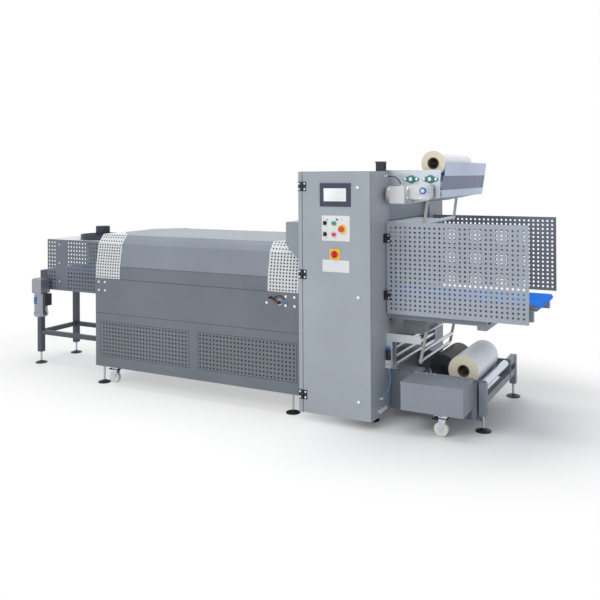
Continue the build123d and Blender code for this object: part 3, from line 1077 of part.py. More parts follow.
# Outfeed frame: legs, stretchers and cross bar in one welded frame
with BuildPart() as outfeed_frame:
    for leg_y in OUTFEED_LEG_Y:
        block(around(OUTFEED_LEG_X, LEG_SIZE), around(leg_y, LEG_SIZE),
              (LEG_BOTTOM, OUTFEED_TOP - OUTFEED_SIDE[1]))
        block((OUTFEED_LEG_X, TUNNEL_LEFT), around(leg_y, STRETCHER), around(STRETCHER_Z, STRETCHER))
    block(around(OUTFEED_LEG_X, STRETCHER), OUTFEED_LEG_Y, around(STRETCHER_Z, STRETCHER))
keep(outfeed_frame, "outfeed_frame")

# Outfeed conveyor: side plates, bed and the spacers that carry the guard box
SIDE_HALF = OUTFEED_BELT_WIDTH / 2 + OUTFEED_SIDE_GAP
with BuildPart() as outfeed_conveyor:
    for side in (-1, 1):
        side_y = sorted((TUNNEL_MID + side * SIDE_HALF, TUNNEL_MID + side * (SIDE_HALF + OUTFEED_SIDE[0])))
        block((OUTFEED_LEFT + OUTFEED_PULLEY_R / 2, TUNNEL_LEFT), side_y,
              (OUTFEED_TOP - OUTFEED_SIDE[1], OUTFEED_TOP - BELT_THICK))
        for spacer_x in GUARD_SPACER_X:
            spacer_y = sorted((TUNNEL_MID + side * (SIDE_HALF + OUTFEED_SIDE[0]),
                               TUNNEL_MID + side * (GUARD_BOX_HALF - SHEET)))
            block(around(GUARD_BOX_LEFT + spacer_x, GUARD_SPACER), spacer_y,
                  around(OUTFEED_TOP - OUTFEED_SIDE[1] / 2, GUARD_SPACER))
    block((OUTFEED_LEFT + 2 * OUTFEED_PULLEY_R, OUTFEED_BELT_X[1] - 2 * OUTFEED_PULLEY_R),
          around(TUNNEL_MID, 2 * SIDE_HALF), (OUTFEED_TOP - BELT_THICK - BED_THICK, OUTFEED_TOP - BELT_THICK))
    pulleys((OUTFEED_LEFT + OUTFEED_PULLEY_R, OUTFEED_BELT_X[1] - OUTFEED_PULLEY_R),
            OUTFEED_TOP - OUTFEED_PULLEY_R, OUTFEED_PULLEY_R,
            around(TUNNEL_MID, OUTFEED_BELT_WIDTH - 2 * OUTFEED_SIDE_GAP),
            around(TUNNEL_MID, 2 * SIDE_HALF))
keep(outfeed_conveyor, "outfeed_conveyor")

# Guard box over the outfeed, open below and at its left end, with the round hole of the fan
FAN_X = TUNNEL_LEFT - FAN_OFFSET
with BuildPart() as outfeed_guard:
    block((GUARD_BOX_LEFT, TUNNEL_LEFT), around(TUNNEL_MID, 2 * GUARD_BOX_HALF),
          (GUARD_BOX_BOTTOM, GUARD_BOX_TOP))
    block((GUARD_BOX_LEFT, TUNNEL_LEFT), around(TUNNEL_MID, 2 * GUARD_BOX_HALF - 2 * SHEET),
          (GUARD_BOX_BOTTOM, GUARD_BOX_TOP - SHEET), mode=Mode.SUBTRACT)
    rod((FAN_X, TUNNEL_MID, GUARD_BOX_TOP - SHEET), UP, FAN_R - 4 * FAN_WALL, SHEET, mode=Mode.SUBTRACT)
keep(outfeed_guard, "outfeed_guard")

# Cooling fan: ring, grille of rings and spokes, hub with blades and the motor on top
GRILLE_Z = GUARD_BOX_TOP + FAN_HEIGHT - FAN_BAR
with BuildPart() as cooling_fan:
    rod((FAN_X, TUNNEL_MID, GUARD_BOX_TOP), UP, FAN_R, FAN_HEIGHT)
    rod((FAN_X, TUNNEL_MID, GUARD_BOX_TOP), UP, FAN_R - FAN_WALL, FAN_HEIGHT, mode=Mode.SUBTRACT)
    for ring in FAN_RINGS:
        with BuildSketch(Plane.XY.offset(GRILLE_Z)):
            with Locations((FAN_X, TUNNEL_MID)):
                Circle(ring + FAN_BAR / 2)
                Circle(ring - FAN_BAR / 2, mode=Mode.SUBTRACT)
        extrude(amount=FAN_BAR)
    for spoke in range(4):
        with BuildSketch(Plane.XY.offset(GRILLE_Z)):
            with Locations(Location((FAN_X, TUNNEL_MID), 45 + 90 * spoke)):
                Rectangle(FAN_R - FAN_WALL / 2, 2 * FAN_BAR, align=(Align.MIN, Align.CENTER))
        extrude(amount=FAN_BAR)
    rod((FAN_X, TUNNEL_MID, GUARD_BOX_TOP + 2 * FAN_BAR), UP, FAN_HUB_R, FAN_HEIGHT - 2 * FAN_BAR)
    for blade in range(FAN_BLADES):
        turn = 2 * math.pi / FAN_BLADES * blade
        pitch = math.radians(FAN_PITCH)
        lean = (math.sin(turn) * math.sin(pitch), -math.cos(turn) * math.sin(pitch), math.cos(pitch))
        with BuildSketch(Plane(origin=(FAN_X, TUNNEL_MID, GUARD_BOX_TOP + FAN_HEIGHT / 2),
                               x_dir=(math.cos(turn), math.sin(turn), 0), z_dir=lean)):
            with BuildLine():
                Polyline((FAN_HUB_R - FAN_BAR, -FAN_BLADE[0]), (FAN_R - 4 * FAN_WALL, -FAN_BLADE[1]),
                         (FAN_R - 4 * FAN_WALL, FAN_BLADE[1]), (FAN_HUB_R - FAN_BAR, FAN_BLADE[0]),
                         close=True)
            make_face()
        extrude(amount=FAN_BLADE_THICK)
    motor_top = GUARD_BOX_TOP + FAN_HEIGHT + FAN_MOTOR[1]
    block(around(FAN_X, FAN_MOTOR[0]), around(TUNNEL_MID, FAN_MOTOR[0]),
          (GUARD_BOX_TOP + FAN_HEIGHT, motor_top))
    fillet(cooling_fan.edges().group_by(Axis.Z)[-1], FAN_BAR)
keep(cooling_fan, "cooling_fan")

# Upright gearmotor of the outfeed: domed cowl, finned motor, gearbox and hub on the side plate
MOTOR_AXIS = (OUTFEED_LEG_X + OUT_MOTOR[0], OUTFEED_LEG_Y[0] - LEG_SIZE / 2 - OUT_MOTOR[1])
with BuildPart() as outfeed_gearmotor:
    rod((*MOTOR_AXIS, OUT_MOTOR_BOTTOM), UP, OUT_MOTOR_R, MOTOR_COWL)
    fillet(outfeed_gearmotor.edges().group_by(Axis.Z)[0], OUT_MOTOR_R / 3)
    rod((*MOTOR_AXIS, OUT_MOTOR_BOTTOM + MOTOR_COWL), UP, OUT_MOTOR_R - 2 * MOTOR_FIN,
        OUT_MOTOR_TOP - OUT_MOTOR_BOTTOM - MOTOR_COWL)
    fin_pitch = (OUT_MOTOR_TOP - OUT_MOTOR_BOTTOM - MOTOR_COWL) / MOTOR_FINS
    for fin in range(MOTOR_FINS):
        rod((*MOTOR_AXIS, OUT_MOTOR_BOTTOM + MOTOR_COWL + (fin + 0.5) * fin_pitch), UP,
            OUT_MOTOR_R - MOTOR_FIN, fin_pitch / 2)
    gear_x = around(MOTOR_AXIS[0], OUT_GEARBOX[0])
    gear_y = around(MOTOR_AXIS[1], OUT_GEARBOX[1])
    block(gear_x, gear_y, (OUT_MOTOR_TOP, OUT_MOTOR_TOP + OUT_GEARBOX[2]))
    chamfer(outfeed_gearmotor.edges().group_by(Axis.Z)[-1], 4 * SHEET)
    hub_x = gear_x[0] + OUT_GEAR_HUB_R + 2 * SHEET
    bar_y((hub_x, OUT_MOTOR_TOP + OUT_GEARBOX[2] / 2 + OUT_GEAR_HUB_R),
          (MOTOR_AXIS[1], TUNNEL_MID - SIDE_HALF - OUTFEED_SIDE[0]), OUT_GEAR_HUB_R)
    terminal_x = (MOTOR_AXIS[0], MOTOR_AXIS[0] + OUT_MOTOR_R + OUT_TERMINAL[0])
    block(terminal_x, around(MOTOR_AXIS[1], OUT_TERMINAL[1]), around(OUT_TERMINAL_Z, OUT_TERMINAL[2]))
keep(outfeed_gearmotor, "outfeed_gearmotor")

# Levelling feet under every carrying part
FOOT_SPOTS = [(LEG_X, leg_y, LEG_BOTTOM) for leg_y in (NEAR_LEG_Y, FAR_LEG_Y)]
FOOT_SPOTS += [(OUTFEED_LEG_X, leg_y, LEG_BOTTOM) for leg_y in OUTFEED_LEG_Y]
FOOT_SPOTS += [(x, y, TUNNEL_BOTTOM)
               for x in (TUNNEL_LEFT + TUNNEL_FOOT_INSET[0], TUNNEL_RIGHT - TUNNEL_FOOT_INSET[1])
               for y in (TUNNEL_FRONT + FOOT_SIDE_INSET, TUNNEL_REAR - FOOT_SIDE_INSET)]
FOOT_SPOTS += [(x, y, CABINET_BOTTOM) for x in (-CABINET_WIDTH + CABINET_FOOT_INSET, -CABINET_FOOT_INSET)
               for y in (CABINET_FOOT_Y, REAR_BACK_Y - CABINET_FOOT_INSET)]
with BuildPart() as levelling_feet:
    for foot_x, foot_y, seat_z in FOOT_SPOTS:
        rod((foot_x, foot_y, 0), UP, FOOT_R, FOOT_DISC)
        with Locations((foot_x, foot_y, FOOT_DISC)):
            Cone(FOOT_R - SHEET, FOOT_NECK_R, FOOT_CONE, align=(Align.CENTER, Align.CENTER, Align.MIN))
        rod((foot_x, foot_y, FOOT_DISC), UP, FOOT_STEM_R, seat_z - FOOT_DISC)
        with BuildSketch(Plane.XY.offset(seat_z - FOOT_NUT)):
            with Locations((foot_x, foot_y)):
                RegularPolygon(FOOT_NUT_R, 6)
        extrude(amount=FOOT_NUT)
keep(levelling_feet, "levelling_feet")


def caster(side, centre_x, centre_y, seat_z):
    """A swivel fork under its fixed plate, with its axle and brake pedal, and the wheel on it."""
    axle_z = CASTER_LIFT + WHEEL_R
    axle_x = centre_x - CASTER_TRAIL
    fork_top = seat_z - CASTER_PLATE[2] - PIN_GAP
    cheek_y = WHEEL_WIDTH / 2 + CHEEK_GAP + CHEEK / 2
    low_plate = fork_top - SWIVEL_HEIGHT
    with BuildPart() as fork:
        rod((centre_x, centre_y, low_plate), UP, SWIVEL_R, SWIVEL_HEIGHT)
        block((axle_x - CHEEK_END_R, centre_x + SWIVEL_R - FORK_TOP), around(centre_y, 2 * cheek_y + CHEEK),
              (low_plate - FORK_TOP, low_plate))
        for cheek in (-1, 1):
            with BuildSketch(Plane.XZ.offset(-(centre_y + cheek * cheek_y - CHEEK / 2))):
                with BuildLine():
                    Polyline((axle_x - CHEEK_END_R, axle_z), (axle_x - CHEEK_END_R, low_plate),
                             (centre_x + SWIVEL_R - FORK_TOP, low_plate), (axle_x + CHEEK_END_R, axle_z),
                             close=True)
                make_face()
                with Locations((axle_x, axle_z)):
                    Circle(CHEEK_END_R)
            extrude(amount=-CHEEK)
        bar_y((axle_x, axle_z), around(centre_y, 2 * cheek_y), AXLE_R)
        block((axle_x - CHEEK_END_R - PEDAL[0], axle_x - CHEEK_END_R), around(centre_y, PEDAL[1]),
              (low_plate - PEDAL[2], low_plate))
    keep(fork, f"{side}_caster_fork")
    with BuildPart() as wheel:
        bar_y((axle_x, axle_z), around(centre_y, WHEEL_WIDTH), WHEEL_R)
        fillet(wheel.edges(), WHEEL_EDGE)
        bar_y((axle_x, axle_z), around(centre_y, WHEEL_WIDTH), AXLE_R + AXLE_GAP, mode=Mode.SUBTRACT)
    keep(wheel, f"{side}_caster_wheel")


for side, spot in CASTER_SPOTS.items():
    caster(side, *spot)

# The origin: on the floor, at the middle of the whole machine
boxes = [piece.bounding_box() for piece in pieces.values()]
LOW = [min(getattr(box.min, axis) for box in boxes) for axis in "XYZ"]
HIGH = [max(getattr(box.max, axis) for box in boxes) for axis in "XYZ"]
SHIFT = (-(LOW[0] + HIGH[0]) / 2, -(LOW[1] + HIGH[1]) / 2, -LOW[2])
for label, piece in pieces.items():
    placed = piece.moved(Location(SHIFT))
    placed.label = label
    export_step(placed, f"parts/{label}.step")
print("shift", SHIFT, "low", LOW, "high", HIGH)
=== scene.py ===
import math

import bmesh
import bpy
from mathutils import Matrix, Vector


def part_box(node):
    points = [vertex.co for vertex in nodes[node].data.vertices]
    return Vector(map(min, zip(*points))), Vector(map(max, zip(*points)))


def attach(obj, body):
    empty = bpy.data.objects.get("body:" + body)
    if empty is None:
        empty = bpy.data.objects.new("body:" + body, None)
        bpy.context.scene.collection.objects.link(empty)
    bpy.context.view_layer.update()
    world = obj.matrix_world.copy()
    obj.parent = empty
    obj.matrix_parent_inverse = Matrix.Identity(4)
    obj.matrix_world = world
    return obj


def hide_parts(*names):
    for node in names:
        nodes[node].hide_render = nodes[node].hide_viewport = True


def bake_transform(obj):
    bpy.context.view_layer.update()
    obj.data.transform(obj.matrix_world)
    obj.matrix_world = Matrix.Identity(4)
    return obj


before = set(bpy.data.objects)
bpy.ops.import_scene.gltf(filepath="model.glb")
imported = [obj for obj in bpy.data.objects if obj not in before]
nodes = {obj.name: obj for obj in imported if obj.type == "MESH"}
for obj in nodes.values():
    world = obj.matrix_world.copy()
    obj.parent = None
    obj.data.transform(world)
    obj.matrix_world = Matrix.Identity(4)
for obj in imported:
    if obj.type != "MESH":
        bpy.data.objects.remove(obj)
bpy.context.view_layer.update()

# Working frame of the model, in millimetres: X = 0 is the control cabinet's right side, Y = 0 its front
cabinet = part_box("control_cabinet")
ORIGIN = Vector((cabinet[1].x, cabinet[0].y, 0.0))


def at(x, y, z):
    """A point of the working frame, given in millimetres, in the scene's metres."""
    return ORIGIN + Vector((x, y, z)) / 1000.0


# Camera at the photograph's place
CAMERA_PLACE = (2086.0, -4832.0, 1813.0)
CAMERA_YAW = math.radians(27.497)
CAMERA_ROLL = math.radians(0.315)
forward = Vector((-math.sin(CAMERA_YAW), math.cos(CAMERA_YAW), 0))
level_right = Vector((math.cos(CAMERA_YAW), math.sin(CAMERA_YAW), 0))
down = forward.cross(level_right)
cam_right = math.cos(CAMERA_ROLL) * level_right + math.sin(CAMERA_ROLL) * down
cam_up = -(math.cos(CAMERA_ROLL) * down - math.sin(CAMERA_ROLL) * level_right)
cam_data = bpy.data.cameras.new("camera")
cam_data.sensor_width = 36.0
cam_data.lens = 745.87 / 600 * 36
cam_data.shift_x = -15.48 / 600
cam_data.shift_y = -125.645 / 600
cam_data.clip_end = 200.0
camera = bpy.data.objects.new("camera", cam_data)
turn = Matrix((cam_right, cam_up, -forward)).transposed().to_4x4()
camera.matrix_world = Matrix.Translation(at(*CAMERA_PLACE)) @ turn
bpy.context.scene.collection.objects.link(camera)
bpy.context.scene.camera = camera


def linear(rgb):
    """An sRGB colour of 0 to 255 as linear values with alpha."""
    out = []
    for value in rgb:
        part = value / 255.0
        out.append(part / 12.92 if part <= 0.04045 else ((part + 0.055) / 1.055) ** 2.4)
    return (*out, 1.0)


class Nodes:
    """Small helper that builds a material's node tree."""

    def __init__(self, name):
        self.material = bpy.data.materials.new(name)
        self.material.use_nodes = True
        self.tree = self.material.node_tree
        self.tree.nodes.clear()
        self.out = self.add("ShaderNodeOutputMaterial")
        self.shader = self.add("ShaderNodeBsdfPrincipled")
        self.link(self.shader.outputs["BSDF"], self.out.inputs["Surface"])
        self.coords = self.add("ShaderNodeTexCoord")

    def add(self, kind, **values):
        node = self.tree.nodes.new(kind)
        for key, value in values.items():
            if key in node.inputs:
                node.inputs[key].default_value = value
            else:
                setattr(node, key, value)
        return node

    def link(self, a, b):
        self.tree.links.new(a, b)

    def noise(self, scale, detail=3.0, stretch=None):
        """A noise texture in the scene's metres, stretched along an axis if asked."""
        node = self.add("ShaderNodeTexNoise", Scale=scale, Detail=detail)
        source = self.coords.outputs["Object"]
        if stretch:
            mapping = self.add("ShaderNodeMapping")
            mapping.inputs["Scale"].default_value = stretch
            self.link(source, mapping.inputs["Vector"])
            source = mapping.outputs["Vector"]
        self.link(source, node.inputs["Vector"])
        return node.outputs["Fac"]

    def spread(self, fac, low, high):
        """A value spread from low to high by a texture."""
        node = self.add("ShaderNodeMapRange")
        node.inputs["From Min"].default_value = 0.3
        node.inputs["From Max"].default_value = 0.7
        node.inputs["To Min"].default_value = low
        node.inputs["To Max"].default_value = high
        self.link(fac, node.inputs["Value"])
        return node.outputs["Result"]

    def blend(self, fac, first, second):
        """Two colours mixed by a texture."""
        node = self.add("ShaderNodeMix", data_type="RGBA")
        node.inputs[6].default_value = first
        node.inputs[7].default_value = second
        self.link(fac, node.inputs[0])
        return node.outputs[2]

    def bump(self, fac, distance, strength=1.0, normal=None):
        node = self.add("ShaderNodeBump", Strength=strength, Distance=distance)
        self.link(fac, node.inputs["Height"])
        if normal is not None:
            self.link(normal, node.inputs["Normal"])
        return node.outputs["Normal"]

    def rounded(self, radius):
        return self.add("ShaderNodeBevel", Radius=radius, samples=4).outputs["Normal"]

    def position(self, axis):
        """The place along an axis, in the scene's metres."""
        if not hasattr(self, "place"):
            self.place = self.add("ShaderNodeSeparateXYZ")
            self.link(self.coords.outputs["Object"], self.place.inputs[0])
        return self.place.outputs[axis]

    def past(self, axis, millimetres):
        """1 past a place along an axis of the working frame, else 0."""
        node = self.add("ShaderNodeMath", operation="GREATER_THAN")
        self.link(self.position(axis), node.inputs[0])
        node.inputs[1].default_value = ORIGIN["XYZ".index(axis)] + millimetres / 1000.0
        return node.outputs[0]

    def choose(self, fac, first, second):
        """One linked colour or the other."""
        node = self.add("ShaderNodeMix", data_type="RGBA")
        self.link(fac, node.inputs[0])
        self.link(first, node.inputs[6])
        self.link(second, node.inputs[7])
        return node.outputs[2]

    def tint(self, rgb, spread=0.035, scale=2.2):
        """A colour with faint clouding."""
        cloud = self.spread(self.noise(scale, 4.0), 0.0, 1.0)
        return self.blend(cloud, linear(shade(rgb, 1 - spread)), linear(shade(rgb, 1 + spread)))


def shade(rgb, factor):
    return tuple(min(255.0, value * factor) for value in rgb)


def paint(name, rgb, rough=0.42, grain=0.00004, edge=0.0012, spread=0.03, gloss=0.5):
    """Powder coat: fine peel, faint clouding of the colour, uneven gloss and softened edges."""
    m = Nodes(name)
    m.link(m.tint(rgb, spread), m.shader.inputs["Base Color"])
    m.link(m.spread(m.noise(14.0, 5.0), rough - 0.04, rough + 0.05), m.shader.inputs["Roughness"])
    m.shader.inputs["Specular IOR Level"].default_value = gloss
    softened = m.rounded(edge) if edge else None
    m.link(m.bump(m.noise(650.0, 2.0), grain, 0.35, softened), m.shader.inputs["Normal"])
    return m.material


def metal(name, rgb, rough=0.32, stretch=(1.0, 1.0, 40.0), edge=0.0008, metallic=1.0, lines=0.00006):
    """Brushed or machined metal: fine lines along one direction and uneven gloss."""
    m = Nodes(name)
    brushed = m.noise(60.0, 4.0, stretch)
    m.link(m.blend(m.spread(brushed, 0.0, 1.0), linear(shade(rgb, 0.94)), linear(shade(rgb, 1.05))),
           m.shader.inputs["Base Color"])
    m.shader.inputs["Metallic"].default_value = metallic
    m.link(m.spread(m.noise(9.0, 5.0), rough - 0.05, rough + 0.06), m.shader.inputs["Roughness"])
    m.link(m.bump(brushed, lines, 0.3, m.rounded(edge) if edge else None), m.shader.inputs["Normal"])
    return m.material


def cast(name, rgb, rough=0.42, metallic=0.55):
    """Cast and painted aluminium: very fine grain, smooth to the eye."""
    m = Nodes(name)
    m.link(m.tint(rgb, 0.03, 12.0), m.shader.inputs["Base Color"])
    m.shader.inputs["Metallic"].default_value = metallic
    m.link(m.spread(m.noise(25.0, 4.0), rough - 0.04, rough + 0.06), m.shader.inputs["Roughness"])
    m.link(m.bump(m.noise(900.0, 2.0), 0.00005, 0.4, m.rounded(0.0015)), m.shader.inputs["Normal"])
    return m.material


def plastic(name, rgb, rough=0.5, grain=0.00006, scale=900.0, edge=0.0008, coat=0.0):
    """Moulded plastic with fine grain."""
    m = Nodes(name)
    m.link(m.tint(rgb, 0.05, 6.0), m.shader.inputs["Base Color"])
    m.link(m.spread(m.noise(40.0, 4.0), rough - 0.05, rough + 0.05), m.shader.inputs["Roughness"])
    m.shader.inputs["Coat Weight"].default_value = coat
    m.shader.inputs["Coat Roughness"].default_value = 0.12
    softened = m.rounded(edge) if edge else None
    m.link(m.bump(m.noise(scale, 2.0), grain, 0.4, softened), m.shader.inputs["Normal"])
    return m.material


def zones(name, axis, first, parts, rough=0.4):
    """Several materials along an axis: first is (colour, metallic), parts are (from, colour, metallic)."""
    m = Nodes(name)
    colour = m.tint(first[0])
    metallic = None
    for start, rgb, metal_part in parts:
        mask = m.past(axis, start)
        colour = m.choose(mask, colour, m.tint(rgb))
        step = m.add("ShaderNodeMix", data_type="FLOAT")
        m.link(mask, step.inputs[0])
        if metallic is None:
            step.inputs[2].default_value = first[1]
        else:
            m.link(metallic, step.inputs[2])
        step.inputs[3].default_value = metal_part
        metallic = step.outputs[0]
    m.link(colour, m.shader.inputs["Base Color"])
    m.link(metallic, m.shader.inputs["Metallic"])
    m.link(m.spread(m.noise(20.0, 4.0), rough - 0.05, rough + 0.05), m.shader.inputs["Roughness"])
    m.link(m.bump(m.noise(800.0, 2.0), 0.00004, 0.35), m.shader.inputs["Normal"])
    return m.material


CABINET_GREY = paint("cabinet_grey", (158, 166, 174))
# The cabinet's paint in a darker copy for the rear housing, bridge and base: painted shade
SHADED_SIDE_GREY = paint("shaded_side_grey", (132, 140, 149))
TUNNEL_GREY = paint("tunnel_grey", (106, 113, 122), rough=0.4)
TUNNEL_SHEET = paint("tunnel_sheet", (106, 113, 122), rough=0.4, edge=0)
LINK_GREY = paint("link_grey", (140, 148, 157))
DARK_GREY = paint("dark_grey", (72, 77, 85), rough=0.45)
GUARD_BOX_GREY = paint("guard_box_grey", (104, 111, 122), edge=0)
# A paler copy of the outfeed guard's grey for its top face: painted light from above
LIT_TOP_GREY = paint("lit_top_grey", (196, 199, 208), edge=0)
GUARD_GREY = paint("guard_grey", (161, 169, 180), edge=0)
REAR_GUARD_GREY = paint("rear_guard_grey", (118, 124, 135), edge=0)
FRAME_GREY = paint("frame_grey", (124, 132, 142))
BOX_GREY = paint("box_grey", (136, 144, 154))
CONVEYOR_GREY = paint("conveyor_grey", (130, 137, 146))
COVER_WHITE = paint("cover_white", (204, 209, 211), rough=0.35, spread=0.015, edge=0)
BRACKET_WHITE = paint("bracket_white", (206, 211, 217), rough=0.35, spread=0.015)
STRIPE_BLUE = paint("stripe_blue", (76, 95, 134), rough=0.32, spread=0.02, edge=0)
SEAM_DARK = paint("seam_dark", (52, 56, 62), rough=0.7, edge=0)
# Near-black sheet laid behind perforated sheets: painted shade seen through the holes
HOLE_SHADE_BLACK = paint("hole_shade_black", (20, 22, 26), rough=0.7, edge=0)
STEEL = metal("brushed_steel", (200, 204, 209))
PLATE_STEEL = metal("plate_steel", (198, 206, 214), rough=0.36, stretch=(1.0, 1.0, 60.0))
ROLLER_STEEL = metal("roller_steel", (198, 208, 222), rough=0.26, stretch=(60.0, 1.0, 60.0), edge=0)
CAST = cast("cast_aluminium", (206, 208, 209))
DRUM_DARK = plastic("drum_dark", (46, 51, 58), rough=0.5, edge=0)
ZINC = metal("zinc", (208, 213, 220), rough=0.3, stretch=(1.0, 1.0, 1.0))
SCREW = metal("screw", (232, 234, 236), rough=0.25, stretch=(1.0, 1.0, 1.0), edge=0)
GREEN_CAST = paint("bearing_green", (60, 128, 116), rough=0.4)
BLACK = plastic("black_plastic", (28, 29, 32))
SLATE = plastic("slate_plastic", (44, 51, 63), rough=0.42)
BEZEL = plastic("bezel_blue_grey", (50, 61, 82), rough=0.42)
SCREEN = plastic("screen", (240, 243, 246), rough=0.3, grain=0.00002, edge=0, coat=0.4)
WHEEL = plastic("nylon", (222, 224, 220), rough=0.38)
RED = plastic("red_plastic", (214, 44, 34), rough=0.3, coat=0.5)
GREEN = plastic("green_plastic", (40, 150, 74), rough=0.3, coat=0.5)
YELLOW = plastic("yellow_plastic", (246, 204, 34), rough=0.4, edge=0)
BLUE = plastic("blue_plastic", (42, 112, 200), rough=0.35, edge=0)
GLAND_GREY = plastic("gland_grey", (224, 227, 230), rough=0.4)
HOSE_BLUE = plastic("hose_blue", (66, 162, 252), rough=0.3, grain=0.00003, edge=0, coat=0.5)
PANEL_WHITE = paint("panel_white", (222, 225, 228), rough=0.35, spread=0.012, edge=0)
PLATE_YELLOW = (240, 200, 40)
PLATE_WHITE = (222, 225, 228)
SWITCH_PLATES = zones("switch_plates", "Z", (PLATE_YELLOW, 0.0), ((1290.0, PLATE_WHITE, 0.0),), rough=0.35)
# The hood is one grey paint; the darker grey below Z 1030 is painted shade on its skirt
HOOD_GREY_SHADED_SKIRT = zones("hood_grey_shaded_skirt", "Z", ((106, 113, 122), 0.0), ((1030.0, (127, 135, 145), 0.0),), rough=0.38)
FASCIA = zones("fascia_finish", "Z", ((176, 184, 194), 0.8), ((1642.0, (200, 216, 242), 0.0),), rough=0.36)
ARM_BEIGE = (194, 191, 184)
ARM_STEEL = (198, 204, 212)
DANCER = zones("dancer_finish", "Y", (ARM_BEIGE, 0.0),
               ((404.6, ARM_STEEL, 1.0), (1125.4, ARM_BEIGE, 0.0)), rough=0.3)
VALVE = zones("valve_finish", "Z", ((216, 220, 224), 0.0),
              ((446.0, (34, 36, 40), 0.0), (523.0, (40, 122, 214), 0.0)))
FEET = zones("feet_finish", "Z", ((30, 32, 36), 0.0), ((24.0, (190, 196, 204), 1.0),), rough=0.45)
MOTOR = zones("outfeed_motor_finish", "X", ((158, 163, 170), 0.9), ((-3459.5, (40, 43, 48), 0.0),), rough=0.3)


def film_web_material():
    """Thin film, faintly blue and slightly see-through."""
    m = Nodes("film_web")
    m.link(m.tint((240, 247, 255), 0.02, 4.0), m.shader.inputs["Base Color"])
    m.shader.inputs["Roughness"].default_value = 0.22
    m.shader.inputs["Alpha"].default_value = 0.88
    ripple = m.noise(9.0, 3.0, (1.0, 5.0, 1.0))
    m.link(m.bump(ripple, 0.001, 0.3), m.shader.inputs["Normal"])
    return m.material


FILM_WEB = film_web_material()


def belt(name, rgb, tunnel_rgb=None):
    """Belt cover: fine weave under a matt top layer, slightly worn along the run."""
    m = Nodes(name)
    wear = m.spread(m.noise(3.0, 5.0, (1.0, 14.0, 1.0)), 0.0, 1.0)
    colour = m.blend(wear, linear(shade(rgb, 0.95)), linear(shade(rgb, 1.04)))
    if tunnel_rgb:
        colour = m.choose(m.past("X", -2640.0), colour, m.tint(tunnel_rgb))
    m.link(colour, m.shader.inputs["Base Color"])
    m.shader.inputs["Roughness"].default_value = 0.6
    m.shader.inputs["Specular IOR Level"].default_value = 0.15
    weave = m.add("ShaderNodeTexWave", Scale=160.0, wave_type="BANDS", bands_direction="X")
    m.link(m.coords.outputs["Object"], weave.inputs["Vector"])
    m.link(m.bump(weave.outputs["Fac"], 0.0001, 0.2), m.shader.inputs["Normal"])
    return m.material


BELT_BLUE = belt("belt_blue", (8, 122, 238))
BELT_OUT = belt("belt_out", (70, 130, 205), (48, 52, 58))


def film_roll_material(name, centre, core):
    """Wound film: fine rings on the cream ends, smooth pale sides, and a brown core."""
    m = Nodes(name)
    squares = []
    for axis, middle in (("X", centre.x), ("Z", centre.z)):
        shift = m.add("ShaderNodeMath", operation="SUBTRACT")
        m.link(m.position(axis), shift.inputs[0])
        shift.inputs[1].default_value = middle
        square = m.add("ShaderNodeMath", operation="POWER")
        m.link(shift.outputs[0], square.inputs[0])
        square.inputs[1].default_value = 2.0
        squares.append(square.outputs[0])
    total = m.add("ShaderNodeMath", operation="ADD")
    m.link(squares[0], total.inputs[0])
    m.link(squares[1], total.inputs[1])
    distance = m.add("ShaderNodeMath", operation="SQRT")
    m.link(total.outputs[0], distance.inputs[0])
    rings = m.add("ShaderNodeTexNoise", noise_dimensions="1D", Scale=900.0, Detail=3.0)
    m.link(distance.outputs[0], rings.inputs["W"])
    geometry = m.add("ShaderNodeNewGeometry")
    facing = m.add("ShaderNodeSeparateXYZ")
    m.link(geometry.outputs["True Normal"], facing.inputs[0])
    ends = m.add("ShaderNodeMath", operation="ABSOLUTE")
    m.link(facing.outputs["Y"], ends.inputs[0])
    ring_fac = m.spread(rings.outputs["Fac"], 0.0, 1.0)
    ringed = m.blend(ring_fac, linear((208, 200, 178)), linear((238, 232, 214)))
    streaks = m.spread(m.noise(5.0, 3.0, (1.0, 8.0, 1.0)), 0.0, 1.0)
    side = m.blend(streaks, linear((240, 245, 251)), linear((246, 249, 254)))
    film = m.choose(ends.outputs[0], side, ringed)
    inner = m.add("ShaderNodeMath", operation="LESS_THAN")
    m.link(distance.outputs[0], inner.inputs[0])
    inner.inputs[1].default_value = core
    brown = m.tint((112, 98, 82), 0.08, 40.0)
    m.link(m.choose(inner.outputs[0], film, brown), m.shader.inputs["Base Color"])
    m.link(m.spread(m.noise(30.0), 0.26, 0.34), m.shader.inputs["Roughness"])
    normal = m.add("ShaderNodeBump", Distance=0.0002)
    m.link(rings.outputs["Fac"], normal.inputs["Height"])
    m.link(ends.outputs[0], normal.inputs["Strength"])
    m.link(normal.outputs["Normal"], m.shader.inputs["Normal"])
    return m.material


